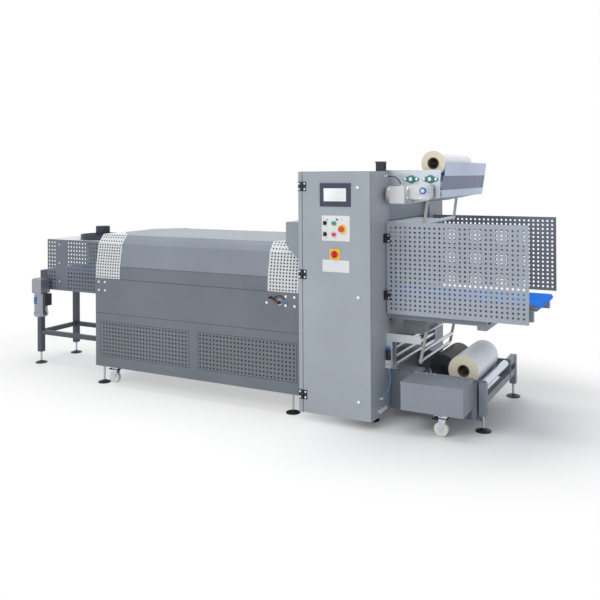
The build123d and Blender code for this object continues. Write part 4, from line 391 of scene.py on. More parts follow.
# Every CAD node gets its finish
CORE_R = 0.0441
FINISH = {
    "control_cabinet": CABINET_GREY, "cabinet_door": CABINET_GREY, "rear_housing": SHADED_SIDE_GREY,
    "sealer_bridge": SHADED_SIDE_GREY, "sealer_base": SHADED_SIDE_GREY, "connection_housing": LINK_GREY,
    "tunnel_base": TUNNEL_GREY, "tunnel_body": TUNNEL_GREY, "tunnel_hood": HOOD_GREY_SHADED_SKIRT,
    "service_panels": TUNNEL_GREY, "end_covers": COVER_WHITE, "outfeed_guard": DARK_GREY,
    "outfeed_frame": DARK_GREY, "outfeed_conveyor": DARK_GREY, "front_guard": GUARD_GREY,
    "rear_guard": REAR_GUARD_GREY, "infeed_conveyor": CONVEYOR_GREY, "unwinder_frame": FRAME_GREY,
    "front_box": BOX_GREY, "fascia": FASCIA, "side_plates": PLATE_STEEL, "feed_rollers": ROLLER_STEEL,
    "silver_roller": ROLLER_STEEL, "upper_dancer": DANCER, "lower_dancer": DANCER,
    "valve_bracket": BRACKET_WHITE, "sealing_bars": STEEL, "film_gearmotor": CAST,
    "outfeed_gearmotor": MOTOR, "bearing_units": GREEN_CAST,
    "dark_drum": DRUM_DARK, "hinge_leaves": BLACK, "door_locks": ZINC, "top_box": BLACK,
    "cooling_fan": SLATE, "damper_lever": BLACK, "upper_selector": BLACK, "lower_selector": BLACK,
    "levelling_feet": FEET, "air_valve": VALVE, "side_glands": GLAND_GREY, "touch_panel": BEZEL,
    "control_plates": SWITCH_PLATES, "green_button": GREEN, "red_button": RED, "emergency_stop": RED,
    "main_switch": RED, "infeed_belt": BELT_BLUE, "outfeed_belt": BELT_OUT,
    "left_caster_fork": ZINC, "right_caster_fork": ZINC, "left_caster_wheel": WHEEL,
    "right_caster_wheel": WHEEL, "air_hose": HOSE_BLUE, "motor_cable": BLACK,
}
for name, node in nodes.items():
    if name.endswith("film_roll"):
        low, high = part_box(name)
        middle = (low + high) / 2
        material = film_roll_material(name + "_film", middle, CORE_R)
    else:
        material = FINISH[name]
    node.data.materials.clear()
    node.data.materials.append(material)

# Cords
HOSE_POINTS = ((30.0, 282.0, 379.0), (36.0, 284.0, 333.0), (38.0, 276.0, 283.0), (34.0, 250.0, 238.0),
               (25.0, 214.0, 210.0), (17.0, 177.0, 192.0))
CABLE_POINTS = ((22.0, 279.0, 1796.0), (62.0, 277.0, 1797.0), (100.0, 270.0, 1785.0),
                (126.0, 262.0, 1759.0), (134.0, 259.0, 1733.0))


def cord_piece(name, points, diameter, material, node):
    """A cord along one smooth curve through its route."""
    data = bpy.data.curves.new(name, "CURVE")
    data.dimensions = "3D"
    data.bevel_depth = diameter / 2
    data.bevel_resolution = 6
    spline = data.splines.new("NURBS")
    spline.points.add(len(points) - 1)
    for point, place in zip(spline.points, points):
        point.co = (*at(*place), 1.0)
    spline.order_u = 3
    spline.use_endpoint_u = True
    spline.resolution_u = 12
    piece = bpy.data.objects.new(name, data)
    bpy.context.scene.collection.objects.link(piece)
    data.materials.append(material)
    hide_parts(node)
    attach(piece, "frame")
    return piece


cord_piece("blue_air_hose", HOSE_POINTS, 0.008, HOSE_BLUE, "air_hose")
cord_piece("black_motor_cable", CABLE_POINTS, 0.008, BLACK, "motor_cable")


# Mesh helpers, in millimetres of the working frame
def dress(name, bm, material, body, replaced=()):
    """Turn a bmesh given in the working frame into a piece on a body."""
    bmesh.ops.remove_doubles(bm, verts=bm.verts, dist=0.01)
    bmesh.ops.recalc_face_normals(bm, faces=bm.faces)
    for vert in bm.verts:
        vert.co = at(*vert.co)
    mesh = bpy.data.meshes.new(name)
    bm.to_mesh(mesh)
    bm.free()
    materials = material if isinstance(material, (list, tuple)) else [material]
    for item in materials:
        mesh.materials.append(item)
    piece = bpy.data.objects.new(name, mesh)
    bpy.context.scene.collection.objects.link(piece)
    if replaced:
        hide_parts(*replaced)
    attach(piece, body)
    return piece


def add_block(bm, x, y, z, bevel=0.0, index=0):
    """A block with softened edges."""
    made = bmesh.ops.create_cube(bm, size=1.0)
    for vert in made["verts"]:
        parts = zip((x, y, z), vert.co)
        vert.co = Vector([first + (part + 0.5) * (last - first) for (first, last), part in parts])
    edges = {edge for vert in made["verts"] for edge in vert.link_edges}
    faces = {face for vert in made["verts"] for face in vert.link_faces}
    for face in faces:
        face.material_index = index
    if bevel:
        bmesh.ops.bevel(bm, geom=list(edges), offset=bevel, segments=2, affect="EDGES", profile=0.6)


def add_lathe(bm, base, axis, profile, segments=24, index=0):
    """A turned solid: profile points are (distance along the axis, radius)."""
    direction = Vector(axis).normalized()
    side = direction.orthogonal().normalized()
    other = direction.cross(side)
    rings = []
    for along, radius in profile:
        centre = Vector(base) + direction * along
        if radius < 1e-6:
            rings.append([bm.verts.new(centre)])
        else:
            rings.append([bm.verts.new(centre + radius * (math.cos(a) * side + math.sin(a) * other))
                          for a in (2 * math.pi * k / segments for k in range(segments))])
    for first, second in zip(rings, rings[1:]):
        for k in range(segments):
            n = (k + 1) % segments
            if len(first) == 1 and len(second) == 1:
                continue
            if len(first) == 1:
                loop = (first[0], second[n], second[k])
            elif len(second) == 1:
                loop = (first[k], first[n], second[0])
            else:
                loop = (first[k], first[n], second[n], second[k])
            bm.faces.new(loop).material_index = index


def screw_head(bm, place, axis, radius=6.0, height=3.0, index=0):
    """A domed screw head with a hexagon socket."""
    profile = ((0, 0), (0, radius), (height * 0.55, radius), (height, radius * 0.72),
               (height, radius * 0.42), (height * 0.45, radius * 0.4), (height * 0.45, 0))
    add_lathe(bm, place, axis, profile, 12, index)


def hex_bolt(bm, place, axis, radius=9.0, height=6.0, index=0):
    """A hexagon head on its washer."""
    washer = 1.6
    add_lathe(bm, place, axis, ((0, 0), (0, radius * 1.25), (washer, radius * 1.25), (washer, 0)), 20, index)
    start = Vector(place) + Vector(axis).normalized() * washer
    profile = ((0, 0), (0, radius), (height * 0.8, radius), (height, radius * 0.86), (height, 0))
    add_lathe(bm, start, axis, profile, 6, index)


def perforated(bm, us, vs, is_hole, hole_r, put, thick, segments=16, index=0):
    """A sheet of cells, some with a round hole, at put(u, v, depth), with walls at every edge."""
    made = {}

    def vert(u, v, w):
        key = (round(u, 3), round(v, 3), w)
        if key not in made:
            made[key] = bm.verts.new(put(u, v, w * thick))
        return made[key]

    def face(points):
        loop = [vert(*point) for point in points]
        if len(set(loop)) == len(loop):
            bm.faces.new(loop).material_index = index

    quarter = segments // 4
    for i, (u0, u1) in enumerate(zip(us, us[1:])):
        for j, (v0, v1) in enumerate(zip(vs, vs[1:])):
            if is_hole(i, j):
                corners = ((u0, v0), (u1, v0), (u1, v1), (u0, v1))
                outer, inner = [], []
                for side in range(4):
                    a, b = corners[side], corners[(side + 1) % 4]
                    for k in range(quarter):
                        t = k / quarter
                        outer.append((a[0] + (b[0] - a[0]) * t, a[1] + (b[1] - a[1]) * t))
                for k in range(segments):
                    angle = -0.75 * math.pi + 2 * math.pi * k / segments
                    across, along = hole_r * math.cos(angle), hole_r * math.sin(angle)
                    inner.append(((u0 + u1) / 2 + across, (v0 + v1) / 2 + along))
                for k in range(segments):
                    n = (k + 1) % segments
                    face(((*outer[k], 0), (*outer[n], 0), (*inner[n], 0), (*inner[k], 0)))
                    face(((*outer[n], 1), (*outer[k], 1), (*inner[k], 1), (*inner[n], 1)))
                    face(((*inner[k], 0), (*inner[n], 0), (*inner[n], 1), (*inner[k], 1)))
            else:
                face(((u0, v0, 0), (u1, v0, 0), (u1, v1, 0), (u0, v1, 0)))
                face(((u1, v0, 1), (u0, v0, 1), (u0, v1, 1), (u1, v1, 1)))
            for edge, a, b in ((j == 0, (u0, v0), (u1, v0)), (j == len(vs) - 2, (u1, v1), (u0, v1)),
                               (i == 0, (u0, v1), (u0, v0)), (i == len(us) - 2, (u1, v0), (u1, v1))):
                if edge:
                    face(((*a, 0), (*b, 0), (*b, 1), (*a, 1)))


def ladder(start, first, pitch, count, end):
    """Cell borders: a margin, then count cells round their hole centres, then a margin."""
    return [start] + [first + (k - 0.5) * pitch for k in range(count + 1)] + [end]


def inside(us, vs):
    """The test for a hole in every cell but those of the margins."""
    return lambda i, j: 0 < i < len(us) - 2 and 0 < j < len(vs) - 2


FRONT = (0, -1, 0)
UP = (0, 0, 1)


def rod(radius, length):
    """The profile of a plain round bar."""
    return ((0, 0), (0, radius), (length, radius), (length, 0))


# Guards beside the infeed: perforated sheet with folded edges, hinge leaves and screws
THICK_SHEET = 3.0
FOLD = 18.0
GUARD_LEFT = 12.0
GUARD_FIRST_X = 45.0
GUARD_PITCH = (36.9, 33.0)
GUARD_COLUMNS = 27
GUARD_HOLE_R = 8.4
GUARD_HINGES = (922.0, 1340.0)
LEAF_HALF = 33.5
LEAF_SCREW_Z = 20.0
KNUCKLE = 22.0


def guard_piece(name, node, material, panel_y, out, rows, bottom=None):
    """One guard with its hinge leaves; out is the side that its face looks to."""
    low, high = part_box(node)
    x0, x1 = GUARD_LEFT, (high.x - ORIGIN.x) * 1000
    z0, z1 = bottom or low.z * 1000, high.z * 1000
    us = ladder(x0, GUARD_FIRST_X, GUARD_PITCH[0], GUARD_COLUMNS, x1)
    vs = ladder(z0, (z0 + z1) / 2 - (rows - 1) / 2 * GUARD_PITCH[1], GUARD_PITCH[1], rows, z1)
    face_y = panel_y + out * THICK_SHEET / 2
    bm = bmesh.new()
    perforated(bm, us, vs, inside(us, vs), GUARD_HOLE_R,
               lambda u, v, w: Vector((u, face_y - out * w, v)), THICK_SHEET)
    fold_y = sorted((panel_y - out * THICK_SHEET / 2, panel_y - out * FOLD))
    for end in (x0, x1 - THICK_SHEET):
        add_block(bm, (end, end + THICK_SHEET), fold_y, (z0, z1), 0.8)
    dress(name, bm, material, node, (node,))
    bm = bmesh.new()
    leaf_y = sorted((face_y, face_y + out * 4.0))
    for hinge_z in GUARD_HINGES:
        add_block(bm, (6.5, 39.0), leaf_y, (hinge_z - LEAF_HALF, hinge_z + LEAF_HALF), 1.2)
        add_lathe(bm, (6.0, face_y + out * 6.0, hinge_z - KNUCKLE / 2), UP, rod(6.0, KNUCKLE), 20)
        for side in (-1, 1):
            place = (26.0, face_y + out * 3.8, hinge_z + side * LEAF_SCREW_Z)
            screw_head(bm, place, (0, out, 0), 6.6, 3.0, 1)
    dress(name + "_leaves", bm, [BLACK, SCREW], node)


REAR_BOTTOM = 868.0
guard_y = (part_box("rear_housing")[0].y - ORIGIN.y) * 1000 + 74.0
guard_piece("front_guard_sheet", "front_guard", GUARD_GREY, 286.0, -1, 19)
guard_piece("rear_guard_sheet", "rear_guard", REAR_GUARD_GREY, guard_y, 1, 17, REAR_BOTTOM)

# Service panels of the tunnel, front and rear
PANEL_COLUMNS = 27
PANEL_ROWS = 9
PANEL_PITCH_Z = 32.3
PANEL_HOLE_R = 8.0
THIN_SHEET = 2.0
low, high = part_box("service_panels")
TUNNEL_LEFT = (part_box("tunnel_base")[0].x - ORIGIN.x) * 1000
TUNNEL_RIGHT = (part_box("tunnel_base")[1].x - ORIGIN.x) * 1000
panel_front = (low.y - ORIGIN.y) * 1000
panel_rear = (high.y - ORIGIN.y) * 1000
z0, z1 = low.z * 1000, high.z * 1000
bm = bmesh.new()
PANELS = ((TUNNEL_LEFT + 56.0, TUNNEL_RIGHT - 1054.0, TUNNEL_LEFT + 93.0, 33.85),
          (TUNNEL_RIGHT - 962.0, TUNNEL_RIGHT - 56.0, TUNNEL_RIGHT - 942.0, 33.2))
first_z = (z0 + z1) / 2 - (PANEL_ROWS - 1) / 2 * PANEL_PITCH_Z
vs = ladder(z0, first_z, PANEL_PITCH_Z, PANEL_ROWS, z1)
for x0, x1, first, pitch in PANELS:
    us = ladder(x0, first, pitch, PANEL_COLUMNS, x1)
    for y, way in ((panel_front, 1), (panel_rear, -1)):
        perforated(bm, us, vs, inside(us, vs), PANEL_HOLE_R,
                   lambda u, v, w: Vector((u, y + way * w, v)), THIN_SHEET, 12)
        # A near-black sheet just behind each panel: painted shade in the holes
        hole_shade_y = sorted((y + way * THIN_SHEET, y + way * (THIN_SHEET + 0.8)))
        add_block(bm, (x0 + 1.0, x1 - 1.0), hole_shade_y, (z0 + 1.0, z1 - 1.0), 0, 1)
dress("service_panel_sheets", bm, [TUNNEL_SHEET, HOLE_SHADE_BLACK], "frame", ("service_panels",))

# White end covers: perforated sheet bent over the hood, plain on the flat top
front_y = (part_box("end_covers")[0].y - ORIGIN.y) * 1000
rear_y = (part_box("end_covers")[1].y - ORIGIN.y) * 1000
hood_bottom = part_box("end_covers")[0].z * 1000
hood_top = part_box("end_covers")[1].z * 1000
PROFILE = [(0.0, hood_bottom), (6.0, 1030.0), (38.0, 1222.0), (70.0, 1262.0), (103.0, hood_top)]
ROWS = (4, 8, 1, 2)
ROW_PITCH = 26.5
COVER_WIDTH = 270.0
COVER_MARGIN = 9.0
COVER_PITCH = 28.0
COVER_COLUMNS = 9
COVER_HOLE_R = 7.4
GUSSET_REACH = 372.0
lengths = [math.dist(a, b) for a, b in zip(PROFILE, PROFILE[1:])]
starts = [sum(lengths[:k]) for k in range(len(lengths) + 1)]


def cover_point(way, base_y, u, v, w):
    """A point on the bent cover: u along X, v along the section, w into the sheet."""
    k = max(n for n in range(len(lengths)) if starts[n] <= v + 1e-6)
    a, b = PROFILE[k], PROFILE[k + 1]
    t = (v - starts[k]) / lengths[k]
    y = a[0] + (b[0] - a[0]) * t
    z = a[1] + (b[1] - a[1]) * t
    return Vector((u, base_y + way * (y + w), z))


bm = bmesh.new()
vs, hole_rows = [0.0], []
for k, count in enumerate(ROWS):
    pitch = min(lengths[k] / count, ROW_PITCH)
    margin = (lengths[k] - pitch * count) / 2
    if margin > 0.5:
        vs.append(starts[k] + margin)
        hole_rows.append(False)
    for n in range(count):
        vs.append(starts[k] + margin + pitch * (n + 1))
        hole_rows.append(True)
    if margin > 0.5:
        vs.append(starts[k + 1])
        hole_rows.append(False)
    else:
        vs[-1] = starts[k + 1]
for x0, side in ((TUNNEL_LEFT + 3.0, 1), (TUNNEL_RIGHT - 36.0 - COVER_WIDTH, -1)):
    x1 = x0 + COVER_WIDTH
    us = [x0] + [x0 + COVER_MARGIN + COVER_PITCH * k for k in range(COVER_COLUMNS + 1)] + [x1]
    for base_y, way in ((front_y, 1), (rear_y, -1)):
        perforated(bm, us, vs, lambda i, j: 0 < i < len(us) - 2 and hole_rows[j], COVER_HOLE_R,
                   lambda u, v, w: cover_point(way, base_y, u, v, w), THIN_SHEET, 12)
        # A near-black sheet just behind the cover: painted shade in the holes
        perforated(bm, [x0 + 1.0, x1 - 1.0], starts, lambda i, j: False, 0.0,
                   lambda u, v, w: cover_point(way, base_y, u, v, w + THIN_SHEET + 0.1), 0.7, 12, 1)
        outer_x, inner_x = (x0, x1) if side > 0 else (x1, x0)
        edge_y, reach_y = base_y + way * PROFILE[-1][0], base_y + way * GUSSET_REACH
        ring = [(outer_x, edge_y), (outer_x, reach_y), (inner_x, edge_y)]
        tops = [bm.verts.new((x, y, hood_top)) for x, y in ring]
        lows = [bm.verts.new((x, y, hood_top - THICK_SHEET)) for x, y in ring]
        bm.faces.new(tops)
        bm.faces.new(lows[::-1])
        for k in range(3):
            bm.faces.new((tops[k], tops[(k + 1) % 3], lows[(k + 1) % 3], lows[k]))
dress("end_cover_sheets", bm, [COVER_WHITE, HOLE_SHADE_BLACK], "frame", ("end_covers",))

# Outfeed guard box: perforated walls, plain top with the fan's opening
low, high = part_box("outfeed_guard")
x0, x1 = (low.x - ORIGIN.x) * 1000, (high.x - ORIGIN.x) * 1000
y0, y1 = (low.y - ORIGIN.y) * 1000, (high.y - ORIGIN.y) * 1000
z0, z1 = low.z * 1000, high.z * 1000
OUT_PITCH = 35.5
OUT_COLUMNS = 24
OUT_ROWS = 13
PLAIN_COLUMNS = range(4, 8)
FAN_HALF = 240.0
FAN_OPENING_R = 181.0
CONVEYOR_SIDE = (2.0, 78.0)
fan_x = x1 - 418.0
fan_y = (y0 + y1) / 2
bm = bmesh.new()
us = ladder(x0, x0 + 24.0, OUT_PITCH, OUT_COLUMNS, x1)
vs = ladder(z0, z0 + 28.0, OUT_PITCH, OUT_ROWS, z1)
holes = inside(us, vs)
for y, way in ((y0, 1), (y1, -1)):
    perforated(bm, us, vs, lambda i, j: holes(i, j) and i not in PLAIN_COLUMNS, GUARD_HOLE_R,
               lambda u, v, w: Vector((u, y + way * w, v)), THICK_SHEET)
perforated(bm, [x0, fan_x - FAN_HALF, fan_x + FAN_HALF, x1],
           [y0 + THICK_SHEET, fan_y - FAN_HALF, fan_y + FAN_HALF, y1 - THICK_SHEET],
           lambda i, j: i == 1 and j == 1, FAN_OPENING_R,
           lambda u, v, w: Vector((u, v, z1 - w)), THICK_SHEET, 64, 1)
for y, way in ((y0, 1), (y1, -1)):
    side_y = sorted((y + way * 3.4, y + way * 4.4))
    add_block(bm, (x0 + 4.0, x1 - 4.0), side_y, (z0 + CONVEYOR_SIDE[0], z0 + CONVEYOR_SIDE[1]), 0, 2)
# The top gets a paler copy of the walls' grey: painted light from above
sheet_materials = [GUARD_BOX_GREY, LIT_TOP_GREY, SEAM_DARK]
dress("outfeed_guard_sheets", bm, sheet_materials, "frame", ("outfeed_guard",))

HINGES = (193.0, 1078.0, 1725.0)

# Screws and bolts that stay outside the CAD model
bm = bmesh.new()
for hinge_z in HINGES:
    for side in (-1, 1):
        screw_head(bm, (-565.0, -3.8, hinge_z + side * 20.0), FRONT, 7.2, 3.0)
for guard_y, out in ((y0, -1), (y1, 1)):
    for spot_z in (z0 + 84.0, z0 + 260.0, z0 + 436.0):
        screw_head(bm, (x0 + 155.0, guard_y, spot_z), (0, out, 0), 7.0, 3.0)
for bolt_x, bolt_z in ((-888.0, 832.0), (-719.0, 890.0), (-645.0, 888.0), (-721.0, 821.0), (-644.0, 820.0)):
    hex_bolt(bm, (bolt_x, front_y, bolt_z), FRONT, 8.0, 6.0)
for bolt_x, bolt_z in ((39.0, 889.0), (109.0, 889.0), (39.0, 818.0), (109.0, 818.0)):
    hex_bolt(bm, (TUNNEL_LEFT + bolt_x, front_y, bolt_z), FRONT, 8.0, 6.0)
NEAR_PLATE_Y = 361.0
ROLLER_Z = 1773.0
FLANGE_BOLT = ((0, 0), (0, 11.0), (11.0, 10.0), (14.0, 6.0), (14.0, 0))
SHAFT_END = ((0, 0), (0, 13.0), (15.0, 13.0), (16.0, 12.0), (16.0, 0))
for bolt_x, bolt_z in ((120.0, 1818.0), (392.0, 1828.0), (392.0, 1768.0), (392.0, 1690.0), (30.0, 1690.0)):
    screw_head(bm, (bolt_x, NEAR_PLATE_Y, bolt_z), FRONT, 5.5, 3.0)
for roller_x in (179.0, 325.0):
    for flange_y, out in ((352.0, -1), (1293.0, 1)):
        for side in (-44.0, 44.0):
            add_lathe(bm, (roller_x + side, flange_y, ROLLER_Z), (0, out, 0), FLANGE_BOLT, 12)
        add_lathe(bm, (roller_x, flange_y, ROLLER_Z), (0, out, 0), SHAFT_END, 24)
for bolt_x, bolt_z in ((208.0, 1640.0), (208.0, 1722.0), (300.0, 1640.0)):
    screw_head(bm, (bolt_x, 201.0, bolt_z), FRONT, 5.5, 3.0)
dress("frame_screws", bm, SCREW, "frame")

# Gearbox shaft end with its blue ring
bm = bmesh.new()
SHAFT = (322.0, 206.0, 1692.0)
BLUE_RING = ((0, 0), (0, 25.0), (9.0, 25.0), (10.0, 24.0), (10.0, 17.0), (6.0, 17.0), (6.0, 0))
add_lathe(bm, SHAFT, FRONT, BLUE_RING, 36, 0)
add_lathe(bm, SHAFT, FRONT, ((5.0, 0), (5.0, 14.0), (13.0, 14.0), (14.0, 12.0), (14.0, 0)), 30, 1)
dress("gearbox_shaft_end", bm, [BLUE, PANEL_WHITE], "frame")

# Door: hinge leaves, screws, screen, blank plate, rings round the buttons
bm = bmesh.new()
for hinge_z in HINGES:
    add_block(bm, (-535.5, -507.5), (-5.0, -0.4), (hinge_z - 33.5, hinge_z + 33.5), 1.0)
    add_lathe(bm, (-541.0, -6.0, hinge_z - KNUCKLE / 2), UP, rod(6.4, KNUCKLE), 24)
dress("door_leaves", bm, BLACK, "door")
bm = bmesh.new()
for hinge_z in HINGES:
    for side in (-1, 1):
        screw_head(bm, (-520.0, -4.9, hinge_z + side * 20.0), FRONT, 7.2, 3.0)
dress("door_screws", bm, SCREW, "door")
bm = bmesh.new()
add_block(bm, (-359.5, -180.5), (-8.4, -6.6), (1618.0, 1712.0), 0.8)
dress("touch_screen", bm, SCREEN, "door")
bm = bmesh.new()
add_block(bm, (-375.0, -161.0), (-1.6, 0.2), (1107.0, 1194.0), 0.6)
dress("blank_plate", bm, PANEL_WHITE, "door")
bm = bmesh.new()
for dot_x, dot_z, dot_r in ((-332.0, 1485.0, 4.0), (-255.0, 1487.0, 7.0), (-218.0, 1487.0, 3.0)):
    profile = ((0, 0), (0, dot_r), (1.0, dot_r), (1.4, dot_r * 0.7), (1.4, 0))
    add_lathe(bm, (dot_x, -3.9, dot_z), FRONT, profile, 20)
dress("door_dark_dots", bm, BLACK, "door")
bm = bmesh.new()
for lock_z in (194.0, 936.0, 1716.0):
    add_lathe(bm, (-90.0, -4.6, lock_z), FRONT, ((0, 0), (0, 11.0), (7.0, 10.0), (9.0, 7.0), (9.0, 0)), 24)
    add_block(bm, (-100.0, -86.0), (-17.5, -13.0), (lock_z - 3.0, lock_z + 4.0), 1.0)
dress("door_lock_keys", bm, SCREW, "door")
bm = bmesh.new()
BUTTON_X = -280.0
BUTTON_RING = ((0, 15.8), (0, 20.0), (2.6, 20.0), (3.6, 18.6), (3.6, 15.8), (0, 15.8))
STOP_COLLAR = ((0, 21.5), (0, 32.0), (6.0, 32.0), (8.8, 28.5), (8.8, 21.5), (0, 21.5))
BUTTON_CAP = ((-2.8, 0), (-2.8, 7.4), (9.4, 7.4), (9.4, 14.8),
              (15.4, 14.8), (17.4, 13.6), (18.6, 10.0), (19.4, 0))
BUTTONS = (("green_button", 1460.0, GREEN, "green"), ("red_button", 1380.0, RED, "red"))
for name, button_z, material, slot in BUTTONS:
    add_lathe(bm, (BUTTON_X, -3.6, button_z), FRONT, BUTTON_RING, 32, 0)
add_lathe(bm, (-215.0, -3.6, 1420.0), FRONT, STOP_COLLAR, 40, 1)
dress("button_rings", bm, [ZINC, YELLOW], "door")
for name, button_z, material, slot in BUTTONS:
    bm = bmesh.new()
    add_lathe(bm, (BUTTON_X, 0.0, button_z), FRONT, BUTTON_CAP, 40)
    piece = dress(name + "_cap", bm, material, name, (name,))
    piece.data.shade_smooth()
    piece.data.set_sharp_from_angle(angle=math.radians(35))

# Damper dial on the tunnel's front
bm = bmesh.new()
DIAL = (-775.0, 843.0)
STEPS = 40
rings = []
for k in range(STEPS + 1):
    angle = math.radians(150.0 - 120.0 * k / STEPS)
    corners = []
    for radius, depth in ((54.0, 60.2), (54.0, 58.2), (45.0, 58.2), (45.0, 60.2)):
        dial_x = DIAL[0] + radius * math.cos(angle)
        dial_z = DIAL[1] + radius * math.sin(angle)
        corners.append(bm.verts.new((dial_x, depth, dial_z)))
    rings.append(corners)
for first, second in zip(rings, rings[1:]):
    for k in range(4):
        bm.faces.new((first[k], first[(k + 1) % 4], second[(k + 1) % 4], second[k]))
bm.faces.new(rings[0])
bm.faces.new(rings[-1][::-1])
DIAL_HUB = ((0, 16.0), (0, 24.0), (2.0, 24.0), (2.0, 16.0), (0, 16.0))
add_lathe(bm, (DIAL[0], 60.1, DIAL[1]), FRONT, DIAL_HUB, 32, 1)
add_block(bm, (-843.0, -829.0), (58.6, 60.2), (836.0, 861.0), 0.4, 2)
add_block(bm, (-728.0, -697.0), (58.6, 60.2), (839.0, 851.0), 0.4, 3)
dress("damper_dial", bm, [BLACK, ZINC, RED, BLUE], "frame")

# Seams and edges of the tunnel, front and rear
FOLD_DEPTH = 8.6
LINE = 3.0
PANEL_Z = (250.0, 545.0)
full_width = (TUNNEL_LEFT + 0.5, TUNNEL_RIGHT - 0.5)
lines = [(full_width, (618.6, 621.4), 0.0), (full_width, (919.0, 921.6), 0.0),
         ((TUNNEL_LEFT + 275.0, TUNNEL_RIGHT - 310.0), (1029.2, 1030.8), FOLD_DEPTH)]
for x0, x1, first, pitch in PANELS:
    for line_x in ((x0 - LINE, x0), (x1, x1 + LINE)):
        lines.append((line_x, (PANEL_Z[0] - LINE, PANEL_Z[1] + LINE), 0.0))
    for line_z in ((PANEL_Z[0] - LINE, PANEL_Z[0]), (PANEL_Z[1], PANEL_Z[1] + LINE)):
        lines.append(((x0, x1), line_z, 0.0))
bm = bmesh.new()
for way, face_y in ((1, front_y), (-1, rear_y)):
    for line_x, line_z, into in lines:
        add_block(bm, line_x, sorted((face_y + way * (into - 0.5), face_y + way * (into + 1.0))), line_z)
dress("tunnel_seams", bm, SEAM_DARK, "frame")

# Fascia stripe, which follows the panel's lean
bm = bmesh.new()
fascia = nodes["fascia"]
fascia_points = [fascia.matrix_world @ vert.co for vert in fascia.data.vertices]
fascia_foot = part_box("fascia")[0].z + 0.02
foot = max((point for point in fascia_points if point.z < fascia_foot), key=lambda point: point.x)
head = max(fascia_points, key=lambda point: point.x)
lean = (head.x - foot.x) / (head.z - foot.z)
corners = []
for stripe_z in (1693.0, 1796.0):
    face_x = (foot.x - ORIGIN.x + lean * (stripe_z / 1000.0 - foot.z)) * 1000.0
    for depth in (-1.0, 1.0):
        for end_y in (370.0, 1511.0):
            corners.append(bm.verts.new((face_x + depth, end_y, stripe_z)))
for loop in ((0, 1, 3, 2), (4, 6, 7, 5), (0, 4, 5, 1), (2, 3, 7, 6), (0, 2, 6, 4), (1, 5, 7, 3)):
    bm.faces.new([corners[k] for k in loop])
dress("fascia_stripe", bm, STRIPE_BLUE, "frame")

# Black box on the cabinet, with ribs and a lid
RIB_PITCH = 11.0
RIB_WIDTH = 4.0
RIB_Z = (1840.0, 1892.0)
bm = bmesh.new()
add_block(bm, (-71.0, -11.0), (278.0, 341.0), (1834.0, 1898.0), 2.0)
add_block(bm, (-74.0, -8.0), (275.0, 341.0), (1896.0, 1906.0), 1.5)
for k in range(5):
    rib_x = -65.0 + RIB_PITCH * k
    rib_y = 283.0 + RIB_PITCH * k
    add_block(bm, (rib_x, rib_x + RIB_WIDTH), (275.6, 279.0), RIB_Z, 0.6)
    add_block(bm, (-12.0, -8.6), (rib_y, rib_y + RIB_WIDTH), RIB_Z, 0.6)
dress("ribbed_top_box", bm, SLATE, "frame", replaced=("top_box",))

# Rail with bolts behind the front box
bm = bmesh.new()
add_block(bm, (200.0, 646.0), (321.0, 326.5), (352.0, 374.0), 0.8, 0)
for bolt_x in (222.0, 300.0, 362.0, 566.0):
    screw_head(bm, (bolt_x, 321.0, 368.0), FRONT, 4.5, 3.0, 1)
dress("box_rail", bm, [BOX_GREY, SCREW], "frame")

# Plate on the outfeed gearmotor
bm = bmesh.new()
add_block(bm, (-3546.0, -3522.0), (197.6, 204.0), (602.0, 668.0), 1.0)
dress("motor_plate", bm, BLUE, "frame")

# Caster plates, brake levers and wheel hubs
HUB = ((0, 0), (0, 19.0), (1.2, 19.0), (2.4, 12.0), (2.4, 0))
CASTERS = (("left", (-2537.0, -2443.0), (122.5, 177.5), 149.5, -2493.0),
           ("right", (428.0, 522.0), (102.5, 157.5), 156.5, 472.0))
for side, fork_x, fork_y, top_z, wheel_x in CASTERS:
    bm = bmesh.new()
    add_block(bm, fork_x, fork_y, (top_z - 31.0, top_z - 24.0), 1.5)
    add_block(bm, (wheel_x - 66.0, wheel_x - 20.0), (fork_y[0] + 16.0, fork_y[1] - 16.0), (110.0, 118.0), 2.5)
    dress(side + "_caster_plate", bm, BLACK, side + "_caster_fork")
    bm = bmesh.new()
    middle = (fork_y[0] + fork_y[1]) / 2
    for out in (-1, 1):
        add_lathe(bm, (wheel_x, middle + out * 16.0, 52.0), (0, out, 0), HUB, 30)
    dress(side + "_wheel_hub", bm, GLAND_GREY, side + "_caster_wheel")


# Film web from the sealing bars to the upper dancer's roller, and a quarter round it
ROLLER = (264.0, 1452.0)
WRAP_R = 14.6
WEB_START = (-98.0, 1457.0)
WEB_Y = (430.0, 1100.0)
WEB_STEPS = 24
WEB_COLUMNS = 13
web_end = (ROLLER[0], ROLLER[1] - WRAP_R)
path = []
for k in range(WEB_STEPS):
    part = k / WEB_STEPS
    path.append([start + (end - start) * part for start, end in zip(WEB_START, web_end)])
for degrees in range(-90, 1, 15):
    angle = math.radians(degrees)
    path.append((ROLLER[0] + WRAP_R * math.cos(angle), ROLLER[1] + WRAP_R * math.sin(angle)))
bm = bmesh.new()
rows = []
for x, z in path:
    ys = [WEB_Y[0] + (WEB_Y[1] - WEB_Y[0]) * k / (WEB_COLUMNS - 1) for k in range(WEB_COLUMNS)]
    rows.append([bm.verts.new(at(x, y, z)) for y in ys])
for first, second in zip(rows, rows[1:]):
    for k in range(WEB_COLUMNS - 1):
        bm.faces.new((first[k], first[k + 1], second[k + 1], second[k]))
mesh = bpy.data.meshes.new("upper_film_web")
bm.to_mesh(mesh)
bm.free()
mesh.materials.append(FILM_WEB)
mesh.shade_smooth()
film_web = bpy.data.objects.new("upper_film_web", mesh)
bpy.context.scene.collection.objects.link(film_web)
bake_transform(film_web)

